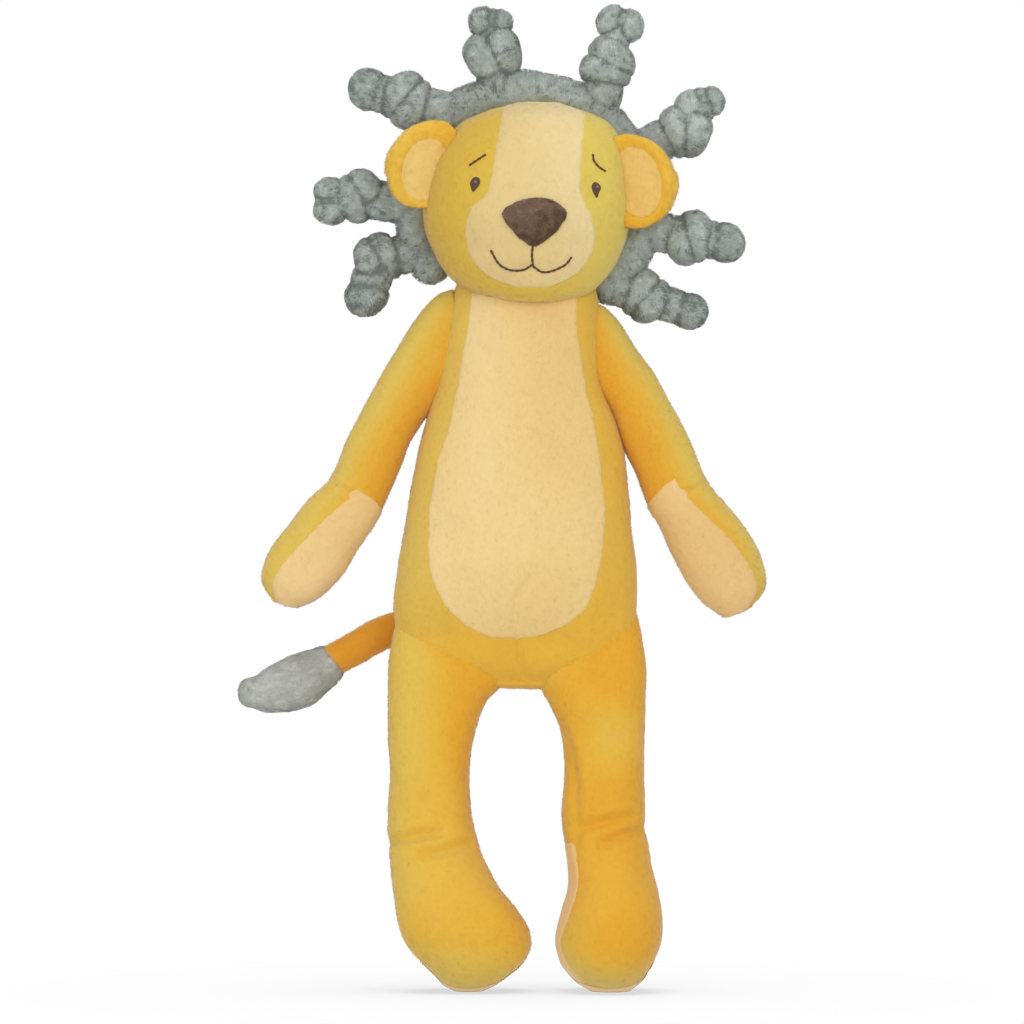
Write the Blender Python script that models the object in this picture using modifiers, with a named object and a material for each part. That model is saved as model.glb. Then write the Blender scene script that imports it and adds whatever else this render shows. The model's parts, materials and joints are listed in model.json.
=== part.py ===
"""Plush lion, about 400 mm tall: sewn plush skins over soft filling, with a knotted fleece mane.

Units are metres and +Z is up. The lion stands on the XY plane and faces -Y, so its own left is +X.
Skins are real shells round their filling, open where they were stuffed. Let-in panels fill holes in
the skins, with a narrow seam gap. Every moving piece hangs on an empty that lies on its joint.
"""

import math

import bmesh
import bpy
from mathutils import Matrix, Vector

TOY_NAME = "plush_lion"

# Cloth, seams and thread
SKIN = 0.0018
SEAM_GAP = 0.0003
CUT_OVERRUN = 0.004
ROOT_PINCH = 0.0020
STUFFING_SLOT_WIDTH = 0.009
STUFFING_SLOT_HEIGHT = 0.0012
THREAD_RADIUS = 0.0005
SOLE_FLAT = 0.0005

# Torso, from the hip seam up to the middle of the neck ball
HIP_HEIGHT = 0.132
TORSO_HEIGHT = 0.1485
TORSO_WIDTH = 0.097
TORSO_DEPTH = 0.058
TORSO_LEAN = 0.0015
NECK_RADIUS = 0.023
NECK_CLEARANCE = 0.0006
NECK_HOLE_RADIUS = 0.009
TORSO_STATION_SHARES = (
    # height, half width, half depth
    (0.000, 0.92, 0.07),
    (0.011, 0.97, 0.13),
    (0.060, 1.02, 0.50),
    (0.150, 1.02, 0.84),
    (0.320, 0.97, 1.01),
    (0.520, 0.86, 0.95),
    (0.710, 0.735, 0.81),
    (0.850, 0.64, 0.75),
    (0.925, 0.57, 0.71),
)
NECK_STATION_ANGLES = (-14, 8, 32, 56, 76)
NECK_SEAM_BELOW = 11
NECK_SEAM_SEGMENTS = 20
THREAD_SIDES = 5
BELLY_OUTLINE_SHARES = (
    # sideways, height
    (-0.40, 0.99), (-0.49, 0.75), (-0.67, 0.55), (-0.745, 0.36), (-0.70, 0.21), (-0.50, 0.11),
    (0.00, 0.05), (0.50, 0.11), (0.68, 0.21), (0.745, 0.36), (0.66, 0.60), (0.55, 0.78), (0.47, 0.99),
)

# Head, rolled a little to the lion's left
HEAD_WIDTH = 0.0845
HEAD_HEIGHT = 0.0815
HEAD_DEPTH = 0.072
HEAD_RISE = 0.036
HEAD_FORWARD = 0.004
HEAD_SHIFT = 0.0025
HEAD_ROLL = 4
MUZZLE_REACH = 0.006
MUZZLE_HEIGHT_SHARE = -0.33
MUZZLE_SPREAD_SHARE = 0.45
HEAD_FULLNESS = 2.35
HEAD_STATION_ANGLES = (-82, -60, -36, -12, 12, 36, 60, 82)
FACE_SHIFT_SHARE = 0.065
FACE_OUTLINE_SHARES = (
    # sideways, height, one side from the crown down to the chin
    (0.40, 1.15), (0.41, 0.62), (0.42, 0.35), (0.44, 0.10), (0.59, -0.05), (0.63, -0.30),
    (0.54, -0.59), (0.35, -0.77), (0.00, -0.82),
)

# Face details
EYE_WIDTH = 0.0042
EYE_HEIGHT = 0.0066
EYE_THICKNESS = 0.0009
EYE_SPREAD_SHARE = 0.585
EYE_HEIGHT_SHARE = 0.18
EYE_OUTLINE_SHARES = (
    (0.0, 1.0), (0.75, 0.75), (1.0, 0.15), (0.7, -0.55), (0.1, -1.0), (-0.6, -0.6), (-1.0, 0.1),
    (-0.75, 0.75),
)
NOSE_WIDTH = 0.0265
NOSE_HEIGHT = 0.0195
NOSE_THICKNESS = 0.0035
NOSE_HEIGHT_SHARE = -0.14
NOSE_OUTLINE_SHARES = (
    (0.0, 1.0), (0.55, 0.72), (0.97, 0.28), (1.0, -0.05), (0.62, -0.52), (0.2, -0.95), (-0.2, -0.95),
    (-0.62, -0.52), (-1.0, -0.05), (-0.97, 0.28), (-0.55, 0.72),
)
NOSE_DOME_SHARES = ((-0.6, 1.0), (0.35, 0.97), (0.8, 0.72), (1.0, 0.34))

# Ears
EAR_WIDTH = 0.038
EAR_HEIGHT = 0.0168
EAR_THICKNESS = 0.0066
EAR_RIM = 0.0052
EAR_AZIMUTH = 19
EAR_SET_FORWARD = 0.0135
EAR_SEAT = 0.0014
EAR_LINING_SINK = 0.0018
EAR_ROOT_SHARE = 0.80
EAR_STATION_SHARES = (
    # outward, half width, half thickness
    (0.22, 1.00, 0.88), (0.50, 0.96, 1.00), (0.78, 0.74, 0.95), (0.96, 0.38, 0.60),
)

# Mane ring and knotted strands
MANE_RADIUS = 0.0465
MANE_THICKNESS = 0.0152
MANE_SET_BACK = 0.012
MANE_START = -48
MANE_END = 239
MANE_SEGMENTS = 24
MANE_END_SHARES = (0.55,)
STRAND_ROOT_RADIUS = 0.0030
STRAND_ROOT_LENGTH = 0.0016
STRAND_ROOT_SHARES = ((0.0, 1.0), (0.5, 0.9), (1.0, 0.7))
STRAND_TUBE_RADIUS = 0.0016
STRAND_TIP_RADIUS = 0.0066
STRAND_TIP_ANGLES = (20, 46, 72, 98, 124, 148, 166)
STRAND_LEAST_GAP = 0.0004
KNOT_UNIT = 0.0020
KNOT_DISTANCE = 0.0132
TIP_DISTANCE = 0.0166
STRAND_PLACES = (
    # azimuth on the ring and lean off the radius in degrees, length of the stem, size
    (-34, 17, 1.30, 1.00),
    (-12, 12, 1.08, 1.00),
    (30, 10, 0.97, 1.00),
    (59, 20, 0.88, 1.00),
    (109, -10, 0.78, 0.84),
    (134, 30, 1.12, 1.00),
    (184, -5, 0.86, 0.95),
    (207, 18, 1.03, 1.00),
)
KNOT_WRAP_SHARES = {"across": 3.8, "through": 2.8, "half_length": 1.6, "inside": 1.0, "arch": 1.9}
KNOT_WRAP_STEPS = 5

# Arms, from the side seam out and down to the paw
SHOULDER_HEIGHT_SHARE = 0.83
ARM_REACH = 0.0585
ARM_DROP = 0.0995
ARM_WIDTH = 0.0286
ARM_DEPTH = 0.025
ARM_SEAM_TILT = 8
ARM_ROOT_WIDTH_SHARE = 0.80
ARM_STATION_SHARES = (
    # outward, down, direction below level in degrees, half width, half depth
    (0.100, 0.040, 26, 0.86, 0.40),
    (0.260, 0.190, 54, 0.80, 0.76),
    (0.400, 0.390, 60, 0.80, 0.90),
    (0.560, 0.590, 58, 0.90, 0.92),
    (0.760, 0.765, 56, 1.03, 1.02),
    (0.925, 0.915, 58, 0.98, 0.94),
    (1.000, 0.990, 60, 0.62, 0.56),
)
PAW_OUTLINE_SHARES = (
    # outward, down, over the inner half of the hand
    (0.56, 0.575), (0.28, 0.69), (0.28, 1.20), (1.20, 1.20), (1.15, 1.04),
)

# Legs and feet
LEG_WIDTH = 0.040
LEG_DEPTH = 0.034
LEG_SPREAD = 0.0347
LEG_STATION_SHARES = (
    # height, sideways, half width, half depth
    (0.925, 0.93, 0.98, 0.30),
    (0.810, 0.97, 0.91, 0.74),
    (0.640, 1.00, 0.82, 0.95),
    (0.450, 1.00, 0.86, 1.00),
)
HIP_SPREAD_SHARE = 0.925
LEG_ROOT_WIDTH_SHARE = 0.90
FOOT_LENGTH = 0.054
FOOT_WIDTH = 0.0406
FOOT_HEIGHT = 0.043
FOOT_STATION_SHARES = (
    # height, forward, half length, half width
    (1.00, 0.35, 0.72, 0.89),
    (0.58, 0.85, 0.97, 1.00),
    (0.20, 1.00, 1.02, 1.00),
    (0.035, 0.97, 0.86, 0.82),
)
FOOT_BOTTOM_SHARES = (0.96, 0.74, 0.70)
LEFT_FOOT_TURN = 8
RIGHT_FOOT_TURN = -60
LEFT_FOOT_FORWARD = 0.008
RIGHT_FOOT_FORWARD = 0.0165
SOLE_HEIGHT = 0.008

# Tail, from the middle of the back round to the lion's right
TAIL_RADIUS = 0.0063
TAIL_HEIGHT_SHARE = 0.118
TAIL_OFFSET = 0.004
TAIL_REACH = 0.108
TAIL_ROUTE_SHARES = (
    # sideways, back, up
    (0.000, 0.000, 0.000), (0.148, 0.009, 0.000), (0.315, -0.019, -0.019), (0.472, -0.056, -0.056),
    (0.583, -0.093, -0.120), (0.648, -0.115, -0.160),
)
TUFT_RADIUS = 0.0112
TUFT_ROUTE_SHARES = (
    # sideways, back, up, radius
    (0.648, -0.115, -0.160, 0.62),
    (0.658, -0.117, -0.166, 0.72),
    (0.750, -0.135, -0.235, 1.04),
    (0.870, -0.155, -0.275, 0.84),
    (1.005, -0.175, -0.290, 0.24),
)

END_ROUNDING_SHARE = 0.25
ROUNDED_END_SHARE = 0.88
TORSO_SIDES = 10
HEAD_SIDES = 10
LIMB_SIDES = 8
EAR_SIDES = 6
BALL_SIDES = 16
LEFT = 1
RIGHT = -1

TORSO_BOTTOM = HIP_HEIGHT + ROOT_PINCH + SEAM_GAP
NECK_HEIGHT = TORSO_BOTTOM + TORSO_HEIGHT
HEAD_PLACE = Vector((HEAD_SHIFT + TORSO_LEAN, -HEAD_FORWARD, NECK_HEIGHT + HEAD_RISE))
NECK_PLACE = Vector((TORSO_LEAN, 0, NECK_HEIGHT))

SIDE_NAMES = {LEFT: "left", RIGHT: "right"}


def clear_scene():
    """Remove the objects that a new Blender file starts with."""
    for thing in list(bpy.data.objects):
        bpy.data.objects.remove(thing, do_unlink=True)


def new_collection(name):
    group = bpy.data.collections.new(name)
    bpy.context.scene.collection.children.link(group)
    return group


def add_object(name, mesh, collection, frame):
    thing = bpy.data.objects.new(name, mesh)
    thing.matrix_world = frame
    collection.objects.link(thing)
    return thing


def finish_cutter(cutter):
    cutter.hide_render = True
    cutter.display_type = "WIRE"
    return cutter


def paint(piece, colour, roughness):
    """Give a piece its own cloth or thread material."""
    cloth = bpy.data.materials.new(piece.name)
    cloth.use_nodes = True
    shader = cloth.node_tree.nodes["Principled BSDF"]
    shader.inputs["Base Color"].default_value = (*colour, 1)
    shader.inputs["Roughness"].default_value = roughness
    shader.inputs["Metallic"].default_value = 0
    piece.data.materials.clear()
    piece.data.materials.append(cloth)
    return piece


# Sections and lofts


def section(centre, across, deep):
    """An elliptical section: its centre and its two half-axes, as vectors."""
    return Vector(centre), Vector(across), Vector(deep)


def lengthened(vector, margin):
    return vector * ((vector.length + margin) / vector.length)


def grown(sections, margin):
    """The same sections with half-axes longer by margin, and both ends pushed out by it."""
    wider = [(centre, lengthened(across, margin), lengthened(deep, margin)) for centre, across, deep in sections]
    for end, inner in ((0, 1), (-1, -2)):
        centre, across, deep = wider[end]
        outward = (centre - wider[inner][0]).normalized()
        wider[end] = (centre + margin * outward, across, deep)
    return wider


def thick_part(sections):
    """The sections that are thick enough to hold filling between two layers of skin."""
    least = 2 * SKIN
    return [s for s in sections if min(s[1].length, s[2].length) > least]


def settled(sections):
    """The sections where Subdivision Surface leaves them, with the ends drawn in and rounded."""
    rows = []
    for before, here, after in zip(sections, sections[1:], sections[2:]):
        rows.append(tuple((a + 6 * b + c) / 8 for a, b, c in zip(before, here, after)))
    for place, (end, inner) in ((0, sections[:2]), (len(sections), sections[:-3:-1])):
        centre = end[0] + END_ROUNDING_SHARE * (inner[0] - end[0])
        rows.insert(place, (centre, ROUNDED_END_SHARE * end[1], ROUNDED_END_SHARE * end[2]))
    return rows


def lining(sections, margin):
    """The space inside a soft form, drawn in by margin from its settled sections."""
    return grown(thick_part(settled(sections)), -margin)


def smoothing_share(sides):
    """Share of a ring's radius that one step of subdivision leaves."""
    return (3 + math.cos(math.tau / sides)) / 4


def ring_points(centre, across, deep, sides):
    turns = [math.tau * k / sides for k in range(sides)]
    return [centre + math.cos(turn) * across + math.sin(turn) * deep for turn in turns]


def cage_mesh(name, rings):
    """A closed loft through rings of points, with a flat face on each end."""
    mesh = bpy.data.meshes.new(name)
    cage = bmesh.new()
    loops = [[cage.verts.new(point) for point in ring] for ring in rings]
    for lower, upper in zip(loops, loops[1:]):
        for k in range(len(lower)):
            cage.faces.new((lower[k - 1], lower[k], upper[k], upper[k - 1]))
    cage.faces.new(loops[0])
    cage.faces.new(loops[-1])
    bmesh.ops.recalc_face_normals(cage, faces=cage.faces)
    cage.to_mesh(mesh)
    cage.free()
    return mesh


def soft_form(name, sections, sides, collection, frame):
    """A rounded form: a coarse cage through the sections with Subdivision Surface."""
    share = smoothing_share(sides)
    rings = [ring_points(centre, across / share, deep / share, sides) for centre, across, deep in sections]
    form = add_object(name, cage_mesh(name, rings), collection, frame)
    form.data.shade_smooth()
    rounding = form.modifiers.new("rounding", "SUBSURF")
    rounding.levels = 1
    rounding.render_levels = 1
    return form


def plain_form(name, sections, sides, collection, frame):
    """A faceted form through the sections, for a lining, a filling or a cutter."""
    rings = [ring_points(centre, across, deep, sides) for centre, across, deep in sections]
    mesh = cage_mesh(name, rings)
    facets = bmesh.new()
    facets.from_mesh(mesh)
    bmesh.ops.triangulate(facets, faces=facets.faces, quad_method="FIXED")
    facets.to_mesh(mesh)
    facets.free()
    form = add_object(name, mesh, collection, frame)
    form.data.shade_smooth()
    return form


def cut(piece, cutter, operation="DIFFERENCE"):
    boolean = piece.modifiers.new(cutter.name, "BOOLEAN")
    boolean.operation = operation
    boolean.solver = "EXACT"
    boolean.object = cutter
    return piece


# Outlines and prisms


def widened(outline, margin):
    """A closed outline, moved outwards by margin along the mean normal of each corner."""
    area = sum(a.x * b.y - b.x * a.y for a, b in zip(outline, outline[1:] + outline[:1]))
    turn = math.copysign(1, area)
    moved = []
    for before, here, after in zip(outline[-1:] + outline[:-1], outline, outline[1:] + outline[:1]):
        first = (here - before).normalized()
        second = (after - here).normalized()
        normal = Vector((first.y + second.y, -first.x - second.x)).normalized() * turn
        spread = max(normal.dot(Vector((first.y, -first.x)) * turn), math.cos(math.radians(60)))
        moved.append(here + normal * (margin / spread))
    return moved


def prism(name, outline, front, back, collection, frame, handle="AUTO"):
    """An upright outline in X and Z, filled and extruded along Y from front to back."""
    flat = bpy.data.curves.new(name, "CURVE")
    flat.dimensions = "2D"
    flat.fill_mode = "BOTH"
    flat.extrude = (back - front) / 2
    flat.resolution_u = 2
    spline = flat.splines.new("BEZIER")
    spline.bezier_points.add(len(outline) - 1)
    spline.use_cyclic_u = True
    for knot, point in zip(spline.bezier_points, outline):
        knot.co = (point.x, point.y, 0)
        knot.handle_left_type = handle
        knot.handle_right_type = handle
    guide = add_object(name, flat, collection, Matrix())
    upright = Matrix.Translation((0, (front + back) / 2, 0)) @ Matrix.Rotation(math.radians(90), 4, "X")
    solid = curve_to_mesh(guide, collection)
    solid.data.transform(upright)
    solid.matrix_world = frame
    return solid


def curve_to_mesh(guide, collection):
    """Swap a curve object for its welded mesh, under the same name."""
    name = guide.name
    bpy.context.view_layer.update()
    evaluated = guide.evaluated_get(bpy.context.evaluated_depsgraph_get())
    mesh = bpy.data.meshes.new_from_object(evaluated)
    place = guide.matrix_world.copy()
    bpy.data.objects.remove(guide, do_unlink=True)
    welded = bmesh.new()
    welded.from_mesh(mesh)
    bmesh.ops.remove_doubles(welded, verts=welded.verts, dist=THREAD_RADIUS / 100)
    bmesh.ops.recalc_face_normals(welded, faces=welded.faces)
    welded.to_mesh(mesh)
    welded.free()
    mesh.shade_smooth()
    return add_object(name, mesh, collection, place)


def tube(name, points, radii, bevel_resolution, collection, frame):
    """A tube of changing radius along the points, with filled ends."""
    route = bpy.data.curves.new(name, "CURVE")
    route.dimensions = "3D"
    route.bevel_depth = max(radii)
    route.bevel_resolution = bevel_resolution
    route.use_fill_caps = True
    route.twist_mode = "MINIMUM"
    spline = route.splines.new("POLY")
    spline.points.add(len(points) - 1)
    for knot, point, radius in zip(spline.points, points, radii):
        knot.co = (*point, 1)
        knot.radius = radius / max(radii)
    guide = add_object(name, route, collection, frame)
    return curve_to_mesh(guide, collection)


def smooth_route(controls, steps):
    """Points of a uniform cubic B-spline through rows of numbers, from the first row to the last."""
    rows = [Vector(row) for row in controls]
    rows = [2 * rows[0] - rows[1]] + rows + [2 * rows[-1] - rows[-2]]
    route = []
    for before, here, after, beyond in zip(rows, rows[1:], rows[2:], rows[3:]):
        for step in range(steps):
            u = step / steps
            route.append((
                (1 - u) ** 3 * before + (3 * u ** 3 - 6 * u ** 2 + 4) * here
                + (-3 * u ** 3 + 3 * u ** 2 + 3 * u + 1) * after + u ** 3 * beyond
            ) / 6)
    route.append(rows[-2])
    return route


# Joints


class Joint:
    """An empty on a joint's axis, with the pieces that turn about it."""

    def __init__(self, name, place, axis, parent):
        self.name = name
        self.axis = Vector(axis).normalized()
        self.empty = bpy.data.objects.new(name, None)
        self.empty.empty_display_size = NECK_RADIUS
        bpy.context.scene.collection.objects.link(self.empty)
        facing = self.axis.to_track_quat("Z", "Y").to_matrix().to_4x4()
        self.empty.matrix_world = Matrix.Translation(place) @ facing
        bpy.context.view_layer.update()
        if parent:
            hang(self.empty, parent)

    def carry(self, *pieces):
        for piece in pieces:
            hang(piece, self.empty)


def hang(thing, parent):
    """Parent a thing and leave it where it is."""
    place = thing.matrix_world.copy()
    thing.parent = parent
    thing.matrix_parent_inverse = parent.matrix_world.inverted()
    thing.matrix_world = place


# Torso


def torso_reach_at(height_share):
    """Half width and half depth that the settled torso has at a share of its height."""
    height = TORSO_BOTTOM + height_share * TORSO_HEIGHT
    rows = settled(body_sections() + neck_sections(NECK_STATION_ANGLES))
    for lower, upper in zip(rows, rows[1:]):
        if height <= upper[0].z:
            mix = (height - lower[0].z) / (upper[0].z - lower[0].z)
            return lower[1].lerp(upper[1], mix).x, lower[2].lerp(upper[2], mix).y
    return rows[-1][1].x, rows[-1][2].y


def torso_point(side_share, height_share):
    return Vector((side_share * TORSO_WIDTH / 2, TORSO_BOTTOM + height_share * TORSO_HEIGHT))


def body_sections():
    """The pear of the torso, below the neck."""
    rows = []
    for height, wide, deep in TORSO_STATION_SHARES:
        centre = (TORSO_LEAN * height, 0, TORSO_BOTTOM + height * TORSO_HEIGHT)
        rows.append(section(centre, (wide * TORSO_WIDTH / 2, 0, 0), (0, deep * TORSO_DEPTH / 2, 0)))
    return rows


def neck_sections(angles):
    """The ball that the head sits on, from the seam's waist up."""
    rows = []
    for angle in angles:
        radius = NECK_RADIUS * math.cos(math.radians(angle))
        rise = Vector((0, 0, NECK_RADIUS * math.sin(math.radians(angle))))
        rows.append(section(NECK_PLACE + rise, (radius, 0, 0), (0, radius, 0)))
    return rows


def torso_lining(margin, top):
    """The space inside the torso skin, drawn in by margin, with a straight neck up to top."""
    outer = body_sections() + neck_sections(NECK_STATION_ANGLES)
    shoulder = [s for s in settled(outer) if s[0].z < NECK_HEIGHT + NECK_RADIUS * math.sin(math.radians(40))]
    rows = grown(thick_part(shoulder), -margin)
    hole = NECK_HOLE_RADIUS + SKIN - margin
    for height in (NECK_HEIGHT + NECK_RADIUS * math.sin(math.radians(48)), top):
        rows.append(section((TORSO_LEAN, 0, height), (hole, 0, 0), (0, hole, 0)))
    return rows


def make_torso(parts, cutters):
    outer = body_sections() + neck_sections(NECK_STATION_ANGLES)
    neck_top = NECK_HEIGHT + NECK_RADIUS
    place = Matrix()
    hollow = plain_form("torso_hollow", torso_lining(SKIN, neck_top + CUT_OVERRUN), TORSO_SIDES, cutters, place)
    outline = [torso_point(*shares) for shares in BELLY_OUTLINE_SHARES]
    front = -TORSO_DEPTH
    hole = prism("belly_hole", widened(outline, SEAM_GAP), front, -SEAM_GAP, cutters, place)
    patch = prism("belly_outline", outline, front, -2 * SEAM_GAP, cutters, place)

    skin = soft_form("torso_skin", outer, TORSO_SIDES, parts, place)
    cut(skin, hollow)
    cut(skin, hole)
    belly = soft_form("belly_panel", outer, TORSO_SIDES, parts, place)
    cut(belly, hollow)
    cut(belly, patch, "INTERSECT")
    fill_top = NECK_HEIGHT + NECK_RADIUS * math.sin(math.radians(60))
    filling = plain_form("torso_filling", torso_lining(SKIN + SEAM_GAP, fill_top), TORSO_SIDES, parts, place)
    return skin, belly, filling


def make_torso_guard(cutters):
    """The torso with a seam gap round it, which limbs and tail are cut by."""
    outer = body_sections() + neck_sections(NECK_STATION_ANGLES)
    return soft_form("torso_guard", grown(outer, SEAM_GAP), TORSO_SIDES, cutters, Matrix())


def make_neck_seam(parts):
    """The ring of thread that gathers the neck, just under the head."""
    below = math.radians(NECK_SEAM_BELOW)
    drop = Vector((0, 0, -NECK_RADIUS * math.sin(below)))
    radius = NECK_RADIUS * math.cos(below) + NECK_CLEARANCE + THREAD_RADIUS
    mesh = bpy.data.meshes.new("neck_seam")
    cage = bmesh.new()
    loops = []
    for k in range(NECK_SEAM_SEGMENTS):
        turn = math.tau * k / NECK_SEAM_SEGMENTS
        out = Vector((math.cos(turn), math.sin(turn), 0))
        ring = ring_points(radius * out, THREAD_RADIUS * out, Vector((0, 0, THREAD_RADIUS)), THREAD_SIDES)
        loops.append([cage.verts.new(point) for point in ring])
    for first, second in zip(loops, loops[1:] + loops[:1]):
        for k in range(THREAD_SIDES):
            cage.faces.new((first[k - 1], first[k], second[k], second[k - 1]))
    bmesh.ops.recalc_face_normals(cage, faces=cage.faces)
    cage.to_mesh(mesh)
    cage.free()
    ring = add_object("neck_seam", mesh, parts, Matrix.Translation(NECK_PLACE + drop))
    ring.data.shade_smooth()
    return ring


# Head


def head_frame():
    return Matrix.Translation(HEAD_PLACE) @ Matrix.Rotation(math.radians(HEAD_ROLL), 4, "Y")


def head_profile(height_share):
    """Share of the head's full half width that is left at a share of its half height."""
    return (1 - abs(height_share) ** HEAD_FULLNESS) ** (1 / HEAD_FULLNESS)


def head_sections():
    """The head in its own frame: a full, slightly square ball with a low muzzle in front."""
    rows = []
    for angle in HEAD_STATION_ANGLES:
        height = math.sin(math.radians(angle))
        share = head_profile(height)
        muzzle = MUZZLE_REACH * math.exp(-(((height - MUZZLE_HEIGHT_SHARE) / MUZZLE_SPREAD_SHARE) ** 2))
        centre = (0, -muzzle / 2, height * HEAD_HEIGHT / 2)
        rows.append(section(centre, (share * HEAD_WIDTH / 2, 0, 0), (0, share * HEAD_DEPTH / 2 + muzzle / 2, 0)))
    return rows


def head_point(side_share, height_share):
    return Vector((side_share * HEAD_WIDTH / 2, height_share * HEAD_HEIGHT / 2))


def neck_ball(name, radius, cutters):
    mesh = bpy.data.meshes.new(name)
    ball = bmesh.new()
    bmesh.ops.create_uvsphere(ball, u_segments=BALL_SIDES, v_segments=BALL_SIDES // 2, radius=radius)
    ball.to_mesh(mesh)
    ball.free()
    return add_object(name, mesh, cutters, Matrix.Translation(NECK_PLACE))


def face_outline():
    half = [(FACE_SHIFT_SHARE + side, height) for side, height in FACE_OUTLINE_SHARES]
    other = [(FACE_SHIFT_SHARE - side, height) for side, height in FACE_OUTLINE_SHARES[-2::-1]]
    return [head_point(*shares) for shares in half + other]


def make_head(parts, cutters):
    frame = head_frame()
    outer = head_sections()
    hollow = plain_form("head_hollow", lining(outer, SKIN), HEAD_SIDES, cutters, frame)
    socket = neck_ball("neck_socket", NECK_RADIUS + NECK_CLEARANCE, cutters)
    outline = face_outline()
    front = -HEAD_DEPTH
    hole = prism("face_hole", widened(outline, SEAM_GAP), front, -SEAM_GAP, cutters, frame)
    patch = prism("face_outline", outline, front, -2 * SEAM_GAP, cutters, frame)

    skin = soft_form("head_skin", outer, HEAD_SIDES, parts, frame)
    for cutter in (hollow, socket, hole):
        cut(skin, cutter)
    face = soft_form("face_panel", outer, HEAD_SIDES, parts, frame)
    cut(face, hollow)
    cut(face, patch, "INTERSECT")
    filling = plain_form("head_filling", lining(outer, SKIN + SEAM_GAP), HEAD_SIDES, parts, frame)
    cut(filling, socket)
    return skin, face, filling


def make_head_guard(name, margin, cutters):
    """The head grown by margin, for what is sewn onto it."""
    return soft_form(name, grown(head_sections(), margin), HEAD_SIDES, cutters, head_frame())


def make_eyes(parts, cutters, head_guard):
    """Two raised pads of satin stitch, each a slice of a shell round the head."""
    frame = head_frame()
    cover = make_head_guard("eye_cover", SEAM_GAP + EYE_THICKNESS, cutters)
    eyes = {}
    for side in (LEFT, RIGHT):
        middle = head_point(FACE_SHIFT_SHARE + side * EYE_SPREAD_SHARE, EYE_HEIGHT_SHARE)
        outline = []
        for across, up in EYE_OUTLINE_SHARES:
            outline.append(middle + Vector((side * across * EYE_WIDTH / 2, up * EYE_HEIGHT / 2)))
        name = "eye_" + SIDE_NAMES[side]
        eye = prism(name, outline, -HEAD_DEPTH, 0, parts, frame, handle="VECTOR")
        cut(eye, cover, "INTERSECT")
        cut(eye, head_guard)
        eyes[side] = eye
    return eyes


def head_front(height_share):
    """How far the head's middle reaches forward at a share of its half height."""
    muzzle = MUZZLE_REACH * math.exp(-(((height_share - MUZZLE_HEIGHT_SHARE) / MUZZLE_SPREAD_SHARE) ** 2))
    return head_profile(height_share) * HEAD_DEPTH / 2 + muzzle


def make_nose(parts, head_guard):
    """A domed pad with the outline of a rounded triangle, seated on the muzzle."""
    middle = head_point(FACE_SHIFT_SHARE, NOSE_HEIGHT_SHARE)
    rings = []
    for forward, size in NOSE_DOME_SHARES:
        depth = -head_front(NOSE_HEIGHT_SHARE) - forward * NOSE_THICKNESS
        ring = []
        for across, up in NOSE_OUTLINE_SHARES:
            x = middle.x + size * across * NOSE_WIDTH / 2
            z = middle.y + size * up * NOSE_HEIGHT / 2
            ring.append(Vector((x, depth, z)))
        rings.append(ring)
    nose = add_object("nose_patch", cage_mesh("nose_patch", rings), parts, head_frame())
    nose.data.shade_smooth()
    return cut(nose, head_guard)


# Ears


def head_reach(azimuth):
    """Distance from the head's middle to its outline, at an angle above level."""
    across = abs(math.cos(azimuth)) / (HEAD_WIDTH / 2)
    up = abs(math.sin(azimuth)) / (HEAD_HEIGHT / 2)
    return (across ** HEAD_FULLNESS + up ** HEAD_FULLNESS) ** (-1 / HEAD_FULLNESS)


def ear_frame(side):
    """Frame on the ear's fold: X runs along the fold, Y backwards and Z out along the ear."""
    azimuth = math.radians(EAR_AZIMUTH)
    depth_share = EAR_SET_FORWARD / (head_profile(math.sin(azimuth)) * HEAD_DEPTH / 2)
    distance = head_reach(azimuth) * math.sqrt(1 - depth_share ** 2) + ROOT_PINCH - EAR_SEAT
    outward = Vector((side * math.cos(azimuth), 0, math.sin(azimuth)))
    back = Vector((0, 1, 0))
    along = back.cross(outward)
    turn = Matrix((along, back, outward)).transposed().to_4x4()
    place = outward * distance - Vector((0, EAR_SET_FORWARD, 0))
    return head_frame() @ Matrix.Translation(place) @ turn


def ear_sections(rim, sink):
    """The ear along its own frame, drawn in by rim and sunk forward by sink."""
    half_width = EAR_WIDTH / 2 - rim
    half_thickness = EAR_THICKNESS / 2 - sink
    length = EAR_HEIGHT - rim
    rows = []
    for out, wide, thick in EAR_STATION_SHARES:
        centre = (0, -sink * 2, rim / 3 + out * (length - rim / 3))
        rows.append(section(centre, (wide * half_width, 0, 0), (0, thick * half_thickness, 0)))
    return rows


def make_ear(side, parts, cutters):
    frame = ear_frame(side)
    name = SIDE_NAMES[side]
    half_root = EAR_ROOT_SHARE * EAR_WIDTH / 2
    root = [
        section((0, 0, -0.95 * ROOT_PINCH), (0.96 * half_root, 0, 0), (0, 0.6 * ROOT_PINCH, 0)),
        section((0, 0, 0), (half_root, 0, 0), (0, 0.9 * ROOT_PINCH, 0)),
    ]
    pad = ear_sections(EAR_RIM, EAR_LINING_SINK)
    recess = soft_form("ear_recess_" + name, grown(pad, SEAM_GAP), EAR_SIDES, cutters, frame)
    ear = soft_form("ear_" + name, root + ear_sections(0, 0), EAR_SIDES, parts, frame)
    cut(ear, recess)
    lining = soft_form("ear_lining_" + name, pad, EAR_SIDES, parts, frame)
    return ear, lining


# Mane


def mane_point(azimuth, distance):
    """A point in the mane's plane, at an angle round the head and a distance from its middle."""
    turn = math.radians(azimuth)
    return Vector((distance * math.cos(turn), MANE_SET_BACK, distance * math.sin(turn)))


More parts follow.
